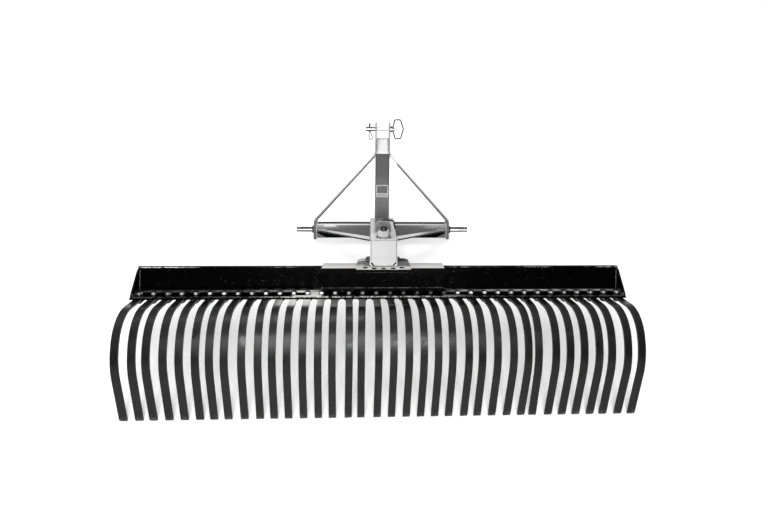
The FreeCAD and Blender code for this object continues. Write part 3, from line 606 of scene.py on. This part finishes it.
def plated(name, base=0.78, rough=0.24, dark=0.0, rim=0.25, dark_bands=None, clean=0.0, metal=0.97, low=0.018, facet_shade=False, row=False, collar=0.0):
    """Bright zinc-plated or machined steel with turning marks and handling dulling; some uses carry painted shade,
    dark reflection bands and highlights.
    """
    m = Mat(name)
    big = m.noise(40.0, 4.0, 0.6, seed=4.0)
    ring = m.noise(900.0, 2.0, 0.5, squash=(1.0, 0.15, 0.15), seed=7.0)
    edge = m.edges(0.0008, 3.0)
    tone = m.mul(m.lin(big, 0.25, 0.75, 0.80, 1.06), base)
    c = m.n("ShaderNodeCombineColor")
    for i in range(3):
        m.l(tone, c.inputs[i])
    col = m.mix(m.mul(m.step(m.noise(75.0, 4.0, 0.7, seed=9.0), 0.54, 0.70), 0.30 + dark), c.outputs[0], grey(0.10, 0.02))
    col = m.mix(m.mul(edge, 0.25), col, grey(0.9))
    if facet_shade:
        # painted shade on the side flats, darkest on the flats turned furthest away, and the right-hand flats greyer
        col = m.mix(m.mul(m.step(m.math("ABSOLUTE", m.nx), 0.50, 0.97), 0.92), col, grey(0.03))
        col = m.mix(m.mul(m.step(m.nx, 0.02, 0.30), 0.50), col, grey(0.20))
    if dark_bands:
        # painted dark reflection bands along the top and the underside of the bar; the left lower pin has wider bands
        # than the right one
        more = m.step(m.x, 0.05, -0.05) if collar else 0.0
        over = m.step(m.math("ADD", m.nz, m.mul(more, 0.10)), dark_bands[0], dark_bands[0] + 0.14)
        under = m.step(m.math("SUBTRACT", m.nz, m.mul(more, 0.16)), dark_bands[1], dark_bands[1] - 0.12)
        if clean:
            out = m.step(m.math("ABSOLUTE", m.x), clean - 0.002, clean)
            over, under = m.mul(over, out), m.mul(under, out)
        col = m.mix(m.mul(under, 0.96), m.mix(m.mul(over, 0.96), col, grey(0.018)), grey(low))
    if collar:
        # painted collar and the scale beside it
        col = m.mix(m.mul(m.step(m.math("ABSOLUTE", m.x), collar + 0.0025, collar), 0.94), col, grey(0.012))
    mt = metal
    if row:
        # painted highlights on the heads, set towards the middle of the bar; painted shade on the heads under the
        # stiffener
        shade_under_stiffener = m.math("ADD", m.step(m.x, -0.25, -0.10, 0.0, 0.66), m.step(m.x, -0.10, 0.03, 0.0, 0.26))
        shade_under_stiffener = m.mul(shade_under_stiffener, m.step(m.x, 0.266, 0.250))
        spot = m.mul(m.step(m.noise(150.0, 3.0, 0.6, seed=21.0), 0.53, 0.60), m.math("SUBTRACT", 1.0, shade_under_stiffener))
        spot = m.math("MAXIMUM", spot, m.mul(m.step(m.ny, -0.90, -0.97), m.math("SUBTRACT", 1.0, shade_under_stiffener)))
        spot = m.mul(spot, m.lin(m.x, -0.5, 0.6, 0.45, 0.56))
        across = m.math("MULTIPLY", m.math("SUBTRACT", m.math("FRACT", m.math("MULTIPLY_ADD", m.x, 1000.0 / PITCH, 18.0)), 0.5), PITCH / 1000.0)
        off = m.math("SUBTRACT", across, m.lin(m.x, -0.9, 0.9, 0.0062, -0.0060))
        spot = m.mul(spot, m.step(m.math("ABSOLUTE", off), 0.0074, 0.0048))
        # painted shade on the heads' tops
        over = m.mul(m.step(m.nz, 0.5, 0.9), m.math("SUBTRACT", 1.0, m.mul(spot, 0.3)))
        col = m.mix(m.mul(over, 0.85), m.mix(spot, m.mix(0.45, col, grey(0.06)), grey(0.95)), grey(0.03))
        col = m.mix(shade_under_stiffener, col, grey(0.02))
        mt = m.mixf(spot, metal, 0.1)
    m.set(Base_Color=col, Metallic=mt, Roughness=m.lin(big, 0.3, 0.7, rough, rough + 0.14))
    m.bsdf.inputs["Specular Tint"].default_value = grey(rim)
    m.bump(m.math("ADD", m.mul(ring, 0.5), m.mul(big, 0.4)), 0.0002, 0.25)
    return m.m


def weld_skin(name, tone, metal, chips):
    """Painted-over weld metal: lumpy, with bare bright flecks on the crowns."""
    m = Mat(name)
    mid = m.noise(260.0, 4.0, 0.65, seed=3.0)
    big = m.noise(45.0, 3.0, 0.6, seed=1.0)
    light = m.mul(m.step(m.noise(110.0, 5.0, 0.7, seed=5.0), 0.53, 0.64), chips)
    col = m.mix(light, m.mix(big, grey(tone * 0.7), grey(tone * 1.25)), grey(0.5, 0.01))
    m.set(Base_Color=col, Metallic=metal, Roughness=m.lin(mid, 0.3, 0.7, 0.28, 0.5))
    m.bump(m.math("ADD", mid, m.mul(big, 0.5)), 0.0008, 0.6)
    return m.m


def plate_mat(name, tone, rough=0.4):
    m = Mat(name)
    mid = m.noise(300.0, 4.0, 0.6, seed=3.0)
    big = m.noise(30.0, 4.0, 0.6, seed=1.5)
    scr = m.noise(700.0, 2.0, 0.5, squash=(0.1, 1.0, 1.0), seed=6.0)
    col = m.mix(m.mul(m.step(scr, 0.66, 0.72), 0.25), m.mix(big, grey(tone * 0.85), grey(tone * 1.12)), grey(0.45))
    m.set(Base_Color=col, Roughness=m.lin(mid, 0.3, 0.7, rough - 0.06, rough + 0.08))
    m.bump(mid, 0.0002, 0.25)
    return m.m


M_BAR = steel_bar_black("gloss_black_bar", "bar")
M_END = steel_bar_black("gloss_black_end", "end")
M_CA = steel_bar_black("gloss_black_stiffener", "stiffener")
M_IP = steel_bar_black("gloss_black_index", "index")
M_TINE = tine_paint("tine_dip_paint")
M_SILVER = silver("silver_grey_paint")
M_STRAP = silver("silver_grey_straps", base=0.125, rough=0.28, kind="strap")
M_MAST = silver("silver_grey_mast", kind="mast")
M_TUBE = silver("silver_grey_tube", kind="tube")
M_BRACE = silver("silver_grey_brace", kind="brace")
M_BRACKET = silver("silver_grey_bracket", base=0.18)
M_BOOM = silver("silver_grey_boom", kind="boom")
M_CAP = silver("pale_cap_paint", base=0.50, metal=0.10, rough=0.50, fleck=0.07, rub_amt=0.9, grime=0.12)
M_HEAD = silver("silver_mast_head", base=0.68, metal=0.15, rough=0.40, fleck=0.05, grime=0.10, kind="head")
M_ZINC = plated("bright_zinc", base=0.90, metal=0.35, rough=0.30, facet_shade=True)
M_TOPPIN = plated("top_pin_steel", base=0.90, rough=0.30, dark_bands=(0.27, -0.27), clean=0.0345, metal=0.35)
M_LOWPIN = plated("lower_pin_steel", base=0.86, rough=0.30, dark_bands=(0.30, -0.28), low=0.05, metal=0.6, collar=0.3090)
M_BOLT = plated("bolt_zinc", base=0.80, rough=0.26, rim=0.5, row=True)
M_KWASH = plated("king_washer_steel", base=0.22, rough=0.40, metal=0.5)
M_WASHER = plated("bolt_washer_black", base=0.02, rough=0.35)
M_DARK = plated("dark_rod", base=0.045, rough=0.34, dark=0.3)
M_NUT = plated("black_nut", base=0.02, rough=0.34)
M_WELD_B = weld_skin("weld_black", 0.006, 0.0, 0.30)
M_WELD_S = weld_skin("weld_silver", 0.50, 0.6, 0.5)
M_WELD_G = weld_skin("weld_grey", 0.11, 0.0, 0.05)
M_WELD_D = weld_skin("weld_smoked", 0.05, 0.3, 0.25)
M_PL_DARK = plate_mat("plate_dark", 0.016)
M_PL_LIGHT = plate_mat("plate_light", 0.50)
M_PL_STRIP = plate_mat("plate_strip", 0.24)

LOOK = {"toolbar": M_BAR, "end_plate_left": M_END, "end_plate_right": M_END, "centre_angle": M_CA, "index_plate": M_IP,
        "boom_cap": M_CAP, "boom": M_BOOM, "cross_tube": M_TUBE, "brace_left": M_BRACE, "brace_right": M_BRACE, "lock_bracket": M_BRACKET,
        "mast_head": M_HEAD, "strap_left": M_STRAP, "strap_right": M_STRAP,
        "king_nut": M_ZINC, "king_washer": M_KWASH, "mast": M_MAST, "king_pin": M_DARK, "top_link_pin": M_TOPPIN, "pull_ring": M_DARK,
        "spring_clip": M_DARK, "lower_pin_left": M_LOWPIN, "lower_pin_right": M_LOWPIN, "lock_pin": M_DARK}
for name, ob in NODES.items():
    m = LOOK.get(name) or (M_TINE if name.startswith("tines_") else M_SILVER)
    ob.data.materials.clear()
    ob.data.materials.append(m)

# ------------------------------------------------------------------ camera
F_PX, X0, Y0 = 503.41, 395.13, 125.0
W, H = 768.0, 517.0
yaw, pitch, roll = math.radians(2.627), math.radians(0.970), math.radians(0.689)
cy, sy, cp, sp = math.cos(yaw), math.sin(yaw), math.cos(pitch), math.sin(pitch)
fwd = Vector((sy * cp, cy * cp, -sp))
right = Vector((cy, -sy, 0.0))
up = right.cross(fwd)
right2 = right * math.cos(roll) + up * math.sin(roll)
up2 = -right * math.sin(roll) + up * math.cos(roll)
cam_level = Matrix((
    (right2.x, up2.x, -fwd.x, -0.04833),
    (right2.y, up2.y, -fwd.y, -1.90921),
    (right2.z, up2.z, -fwd.z, 1.05961),
    (0, 0, 0, 1)))
cam = bpy.data.objects.new("camera", bpy.data.cameras.new("camera"))
cam.data.sensor_width = 36.0
cam.data.lens = F_PX / W * 36.0
cam.data.shift_x = (W / 2 - X0) / W
cam.data.shift_y = (Y0 - H / 2) / W
cam.data.clip_start, cam.data.clip_end = 0.05, 60.0
cam.matrix_world = TO_ROW @ cam_level
SCENE.collection.objects.link(cam)
SCENE.camera = cam

# ------------------------------------------------------------------ fasteners
heads = Build()
BOLT_TURN = math.pi / 6   # one flat of each head towards the rear
nuts = Build()
for i in range(36):
    x = (i - 17.5) * PITCH
    t = BOLT_TURN + random.uniform(-0.07, 0.07)
    zf = Z_FLANGE + BAR_T
    heads.lathe([(7.0, -0.1), (10.4, -0.1), (11.0, 0.5), (11.0, 1.9), (10.5, 2.5), (7.0, 2.5)], 28, (x, BOLT_Y, zf), mi=1)
    heads.hexagon(19.0, 9.2, (x, BOLT_Y, zf + 2.4), turn=t, seg=36)
    zn = Z_FLANGE - TINE_T
    nuts.lathe([(8.0, -0.05), (16.9, -0.05), (17.5, -0.7), (17.5, -2.4), (16.9, -3.0), (8.0, -3.0)], 36, (x, BOLT_Y, zn))
    nuts.hexagon(19.0, 7.5, (x, BOLT_Y, zn - 2.9), z_dir=(0, 0, -1), turn=random.uniform(0, 1.0), seg=36, both=True, bore=6.2)
    nuts.thread(6.3, 1.9, 5.5, 10.5 + random.uniform(-1.0, 1.0), (x, BOLT_Y, zn - 2.9), z_dir=(0, 0, -1), seg=14)
heads.make("tine_bolt_heads", "rake_head", [M_BOLT, M_WASHER])
nuts.make("tine_bolt_nuts", "rake_head", M_NUT)

king = Build()
king.lathe([(12.7, 488.7), (12.7, 630.0), (11.6, 631.5)], 40, (0, KING_Y, 0))
king.thread(12.65, 2.6, 629.0, 645.0, (0, KING_Y, 0), seg=40, lead=1.6)
kp = king.make("king_pin_threaded", "rake_head", M_DARK)
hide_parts("king_pin")

# blank identification plate, riveted on the mast
pl = Build()
yp = HITCH_Y
pl.slab(-26.0, 26.0, yp - 0.65, yp, 699.3, 753.3, 0.25, mi=0)
pl.slab(-23.2, 23.2, yp - 0.95, yp - 0.5, 716.6, 750.6, 0.2, mi=1)
pl.slab(-23.2, 23.2, yp - 0.95, yp - 0.5, 702.0, 714.2, 0.2, mi=2)
for rx, rz in ((-24.6, 751.9), (24.6, 751.9), (-24.6, 700.7), (24.6, 700.7)):
    pl.lathe([(1.0, 0.3), (1.0, 0.65), (0.7, 0.9), (0.3, 1.0)], 12, (rx, yp, rz), z_dir=(0, -1, 0), mi=0)
plate = pl.make("plate_blank", "hitch_frame", [M_PL_LIGHT, M_PL_DARK, M_PL_STRIP])
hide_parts("blank_plate")

# ------------------------------------------------------------------ welds
wb = Build()
half = 914.4
for s in (-1, 1):
    x = s * (half - 6.35)
    # end plate to the leg and to the flange, inside and outside
    wb.bead([(x - s * 1.0, -0.6, 400.0), (x - s * 1.0, -0.6, 476.0)], 2.6, seed=3 + s)
    wb.bead([(x - s * 1.0, -3.0, 397.6), (x - s * 1.0, -60.0, 397.6)], 3.0, seed=6 + s)
    # lumps where the corner was welded up
    for j, (yy, zz, r) in enumerate(((-3.5, 399.0, 4.6), (-22.0, 398.0, 4.0), (-55.0, 398.0, 4.4))):
        wb.bead([(x - s * 3.0, yy, zz), (x - s * 9.0, yy - 3.0, zz - 0.4)], r, seed=80 + s + j, step=0.8)
# stiffener: its ends to the leg's top, and the front edge
for s in (-1, 1):
    x = s * 228.6
    wb.bead([(x, -36.0, Z_BAR_TOP - 0.3), (x, 8.0, Z_BAR_TOP + 1.5)], 2.6, seed=11 + s)
wb.bead([(-226.0, 10.2, Z_BAR_TOP + 0.3), (226.0, 10.2, Z_BAR_TOP + 0.3)], 2.4, seed=15)
# index plate to the stiffener along its rear edge and down the sides
wb.bead([(-98.0, -45.6, Z_CA_TOP - 0.2), (98.0, -45.6, Z_CA_TOP - 0.2)], 2.3, seed=17)
for s in (-1, 1):
    wb.bead([(s * 100.5, -43.0, Z_CA_TOP + 1.0), (s * 97.5, 17.0, Z_CA_TOP + 1.0)], 2.6, seed=19 + s)
wb.make("welds_black", "rake_head", M_WELD_B)

ws = Build()
wd = Build()
# boom cap all round, filling the sawn end of the tube
hw, k, mm = 44.8, 12.0, 6.0
zl, zh = Z_BOOM + mm, Z_BOOM_TOP - mm
o = 1.6
cap_path = [(-hw + k - 2, -60.6, zl - o), (hw - k + 2, -60.6, zl - o)]
ws.bead(cap_path, 3.0, seed=31)
ws.bead([(hw + o, -60.6, zl + k + 2), (hw + o, -60.6, zh + o), (-hw - o, -60.6, zh + o), (-hw - o, -60.6, zl + k + 2)], 3.0, seed=32)
# boom to cross tube: up the sides
ws.bead([(-51.2, HITCH_Y - 1.0, 517.0), (-51.2, HITCH_Y - 1.0, 578.0)], 3.0, seed=33)
ws.bead([(51.2, HITCH_Y - 1.0, 517.0), (51.2, HITCH_Y - 1.0, 578.0)], 3.0, seed=34)
# mast foot on the cross tube, three sides, and on the boom's top
ws.bead([(-32.0, HITCH_Y + 2.0, 579.6), (-32.0, HITCH_Y + 49.0, 579.6), (32.0, HITCH_Y + 49.0, 579.6), (32.0, HITCH_Y + 2.0, 579.6)], 3.0, seed=35)
wf = Build()
wf.bead([(-30.0, HITCH_Y - 0.6, Z_BOOM_TOP + 0.2), (30.0, HITCH_Y - 0.6, Z_BOOM_TOP + 0.2)], 2.6, seed=36)
wf.make("weld_mast_foot", "hitch_frame", M_WELD_G)
# mast head on the mast, with smoked lumps at its corners
wd.bead([(-32.0, HITCH_Y - 0.2, 891.6), (32.0, HITCH_Y - 0.2, 891.6)], 1.5, seed=37)
for s in (-1, 1):
    wd.bead([(s * 33.6, HITCH_Y + 1.0, 888.6), (s * 33.6, HITCH_Y + 50.0, 888.6)], 2.2, seed=38 + s)
    wd.bead([(s * 31.0, HITCH_Y - 1.0, 888.0), (s * 33.4, HITCH_Y + 1.0, 894.5)], 4.4, seed=90 + s, step=0.8)
    # web to ear, and the lump that ends it at the top
    wd.bead([(s * 25.2, PIN_Y - 17.5, 901.5), (s * 25.2, PIN_Y + 11.5, 956.0)], 2.0, seed=93 + s)
    wd.bead([(s * 26.6, PIN_Y + 10.0, 956.5), (s * 23.5, PIN_Y + 14.0, 959.0)], 3.8, seed=96 + s, step=0.8)
    # strap to mast, rear and front faces and under
    ws.bead([(s * 32.2, HITCH_Y + 0.5, 876.0), (s * 32.2, HITCH_Y + 0.5, 889.0)], 2.4, seed=41 + s)
    ws.bead([(s * 32.2, HITCH_Y + 50.3, 876.0), (s * 32.2, HITCH_Y + 50.3, 889.0)], 2.4, seed=44 + s)
    # cross tube to strap, all round
    xs = s * (XB_HALF - 0.4)
    ws.bead([(xs, HITCH_Y + 1.5, 516.5), (xs, HITCH_Y - 0.4, 520.0), (xs, HITCH_Y - 0.4, 574.5), (xs, HITCH_Y + 4.0, 579.3),
             (xs, HITCH_Y + 46.0, 579.3), (xs, HITCH_Y + 51.2, 574.0), (xs, HITCH_Y + 51.2, 520.0)], 2.6, seed=47 + s)
    # round lump in the corner above the cross tube
    ws.bead([(s * (XB_HALF - 3.0), HITCH_Y + 3.0, 582.0), (s * (XB_HALF - 7.0), HITCH_Y + 3.0, 581.0)], 5.2, seed=48 + s, step=0.8)
    # braces: to the boom side and to the cross tube's rear face, above and below
    for z in (552.7, 546.0):
        ws.bead([(s * 51.2, 155.0, z), (s * 51.2, 203.0, z)], 2.4, seed=51 + s + int(z))
        ws.bead([(s * 247.0, HITCH_Y - 0.3, z), (s * 285.0, HITCH_Y - 0.3, z)], 2.6, seed=57 + s + int(z))
    # lower pin collar to strap
    ring = [(s * (HALF_OUT + 0.4), PIN_Y + 16.4 * math.cos(a), 549.5 + 16.4 * math.sin(a)) for a in [2 * math.pi * j / 20 for j in range(20)]]
    wd.bead(ring, 1.7, seed=63 + s, closed=True, pitch=2.6)
wd.bead([(-24.0, PIN_Y + 12.6, 958.6), (24.0, PIN_Y + 12.6, 958.6)], 1.5, seed=99)
# lock pin bracket to the boom's top
ws.bead([(-30.0, 53.6, Z_BOOM_TOP + 0.2), (30.0, 53.6, Z_BOOM_TOP + 0.2)], 2.2, seed=71)
ws.bead([(-30.0, 62.4, Z_BOOM_TOP + 0.2), (30.0, 62.4, Z_BOOM_TOP + 0.2)], 2.2, seed=72)
wd.make("welds_smoked", "hitch_frame", M_WELD_D)
ws.make("welds_silver", "hitch_frame", M_WELD_S)

# ------------------------------------------------------------------ floor
me = bpy.data.meshes.new("floor")
s = 14.0
me.from_pydata([(-s, -s, 0), (s, -s, 0), (s, s, 0), (-s, s, 0)], [], [(0, 1, 2, 3)])
floor = bpy.data.objects.new("floor", me)
SCENE.collection.objects.link(floor)
fm = bpy.data.materials.new("floor_pale")
fm.use_nodes = True
fb = fm.node_tree.nodes["Principled BSDF"]
tcn = fm.node_tree.nodes.new("ShaderNodeTexCoord")
nz = fm.node_tree.nodes.new("ShaderNodeTexNoise")
nz.inputs["Scale"].default_value = 2.2
nz.inputs["Detail"].default_value = 5.0
rp = fm.node_tree.nodes.new("ShaderNodeMapRange")
rp.inputs["To Min"].default_value = 0.84
rp.inputs["To Max"].default_value = 0.94
cc = fm.node_tree.nodes.new("ShaderNodeCombineColor")
fm.node_tree.links.new(tcn.outputs["Object"], nz.inputs["Vector"])
fm.node_tree.links.new(nz.outputs[0], rp.inputs["Value"])
for i in range(3):
    fm.node_tree.links.new(rp.outputs[0], cc.inputs[i])
fm.node_tree.links.new(cc.outputs[0], fb.inputs["Base Color"])
fb.inputs["Roughness"].default_value = 0.85
fb.inputs["Specular IOR Level"].default_value = 0.2
fb.inputs["Emission Color"].default_value = (1.0, 1.0, 1.0, 1.0)
# the floor glows: painted light, strongest behind the hitch where it washes out the hitch's shadow, weaker far to the
# rear
fsep = fm.node_tree.nodes.new("ShaderNodeSeparateXYZ")
fm.node_tree.links.new(tcn.outputs["Object"], fsep.inputs[0])
fgl = fm.node_tree.nodes.new("ShaderNodeMapRange")
fgl.interpolation_type = "SMOOTHSTEP"
for k2, v2 in (("From Min", -0.10), ("From Max", 0.085), ("To Min", 0.20), ("To Max", 0.50)):
    fgl.inputs[k2].default_value = v2
fm.node_tree.links.new(fsep.outputs[1], fgl.inputs["Value"])
fg2 = fm.node_tree.nodes.new("ShaderNodeMapRange")
fg2.interpolation_type = "SMOOTHSTEP"
for k2, v2 in (("From Min", -0.85), ("From Max", -0.55), ("To Min", -0.14), ("To Max", 0.0)):
    fg2.inputs[k2].default_value = v2
fm.node_tree.links.new(fsep.outputs[1], fg2.inputs["Value"])
fad = fm.node_tree.nodes.new("ShaderNodeMath")
fm.node_tree.links.new(fgl.outputs[0], fad.inputs[0])
fm.node_tree.links.new(fg2.outputs[0], fad.inputs[1])
# painted shade: a band of weaker glow under the tine tips
dip = []
for lo2, hi2, a2, b2 in ((-0.480, -0.525, 0.0, 0.085), (-0.586, -0.566, 0.0, 1.0)):
    fdp = fm.node_tree.nodes.new("ShaderNodeMapRange")
    fdp.interpolation_type = "SMOOTHSTEP"
    for k2, v2 in (("From Min", lo2), ("From Max", hi2), ("To Min", a2), ("To Max", b2)):
        fdp.inputs[k2].default_value = v2
    fm.node_tree.links.new(fsep.outputs[1], fdp.inputs["Value"])
    dip.append(fdp.outputs[0])
fdm = fm.node_tree.nodes.new("ShaderNodeMath")
fdm.operation = "MULTIPLY"
fds = fm.node_tree.nodes.new("ShaderNodeMath")
fds.operation = "SUBTRACT"
fm.node_tree.links.new(dip[0], fdm.inputs[0])
fm.node_tree.links.new(dip[1], fdm.inputs[1])
fm.node_tree.links.new(fad.outputs[0], fds.inputs[0])
fm.node_tree.links.new(fdm.outputs[0], fds.inputs[1])
fm.node_tree.links.new(fds.outputs[0], fb.inputs["Emission Strength"])
me.materials.append(fm)


# ------------------------------------------------------------------ light
def area(name, loc, target, size, power, size_y=None):
    d = bpy.data.lights.new(name, "AREA")
    d.shape = "RECTANGLE"
    d.size, d.size_y = size, size_y or size
    d.energy = power
    ob = bpy.data.objects.new(name, d)
    ob.location = loc
    ob.rotation_mode = "QUATERNION"
    ob.rotation_quaternion = (Vector(target) - Vector(loc)).to_track_quat("-Z", "Y")
    SCENE.collection.objects.link(ob)
    return ob


area("key", (-0.60, 0.85, 2.60), (-0.02, 0.0, 0.1), 1.2, 20.0)
area("left", (-2.50, 0.25, 1.95), (-0.1, 0.05, 0.05), 1.6, 5.0)
area("rear_soft", lv(-150.0, -2760.0, 385.0), lv(-40.0, -60.0, 420.0), 1.90, 70.0, 1.13)
world = bpy.data.worlds.new("studio")
world.use_nodes = True
wt = world.node_tree
bg = wt.nodes["Background"]


def wnode(kind, **kw):
    node = wt.nodes.new(kind)
    for k2, v2 in kw.items():
        setattr(node, k2, v2)
    return node


def wstep(sock, lo_, hi_, a, b):
    node = wnode("ShaderNodeMapRange", interpolation_type="SMOOTHSTEP")
    wt.links.new(sock, node.inputs["Value"])
    for k2, v2 in (("From Min", lo_), ("From Max", hi_), ("To Min", a), ("To Max", b)):
        node.inputs[k2].default_value = v2
    return node.outputs[0]


def wmath(op, a, b):
    node = wnode("ShaderNodeMath", operation=op)
    for i2, v2 in enumerate((a, b)):
        if isinstance(v2, bpy.types.NodeSocket):
            wt.links.new(v2, node.inputs[i2])
        else:
            node.inputs[i2].default_value = v2
    return node.outputs[0]


wtc = wnode("ShaderNodeTexCoord")
wsep = wnode("ShaderNodeSeparateXYZ")
wt.links.new(wtc.outputs["Generated"], wsep.inputs[0])
# a pale room, brightest above the front, with a dark wall on the rear side
front = wnode("ShaderNodeVectorMath", operation="DOT_PRODUCT")
wt.links.new(wtc.outputs["Generated"], front.inputs[0])
front.inputs[1].default_value = Vector((-0.10, 0.35, 0.93)).normalized()
dome = wstep(front.outputs["Value"], 0.58, 1.0, 0.42, 1.10)
wall = wmath("MULTIPLY", wstep(wsep.outputs[1], -0.45, -0.80, 0.0, 1.0), wstep(wsep.outputs[2], 0.66, 0.56, 0.0, 1.0))
sky = wmath("MULTIPLY", dome, wmath("SUBTRACT", 1.0, wmath("MULTIPLY", wall, 0.93)))
wt.links.new(sky, bg.inputs["Strength"])
bg.inputs["Color"].default_value = (1.0, 1.0, 1.0, 1)
SCENE.world = world
SCENE.view_settings.view_transform = "Standard"
SCENE.view_settings.look = "None"
SCENE.view_settings.exposure = 0.0
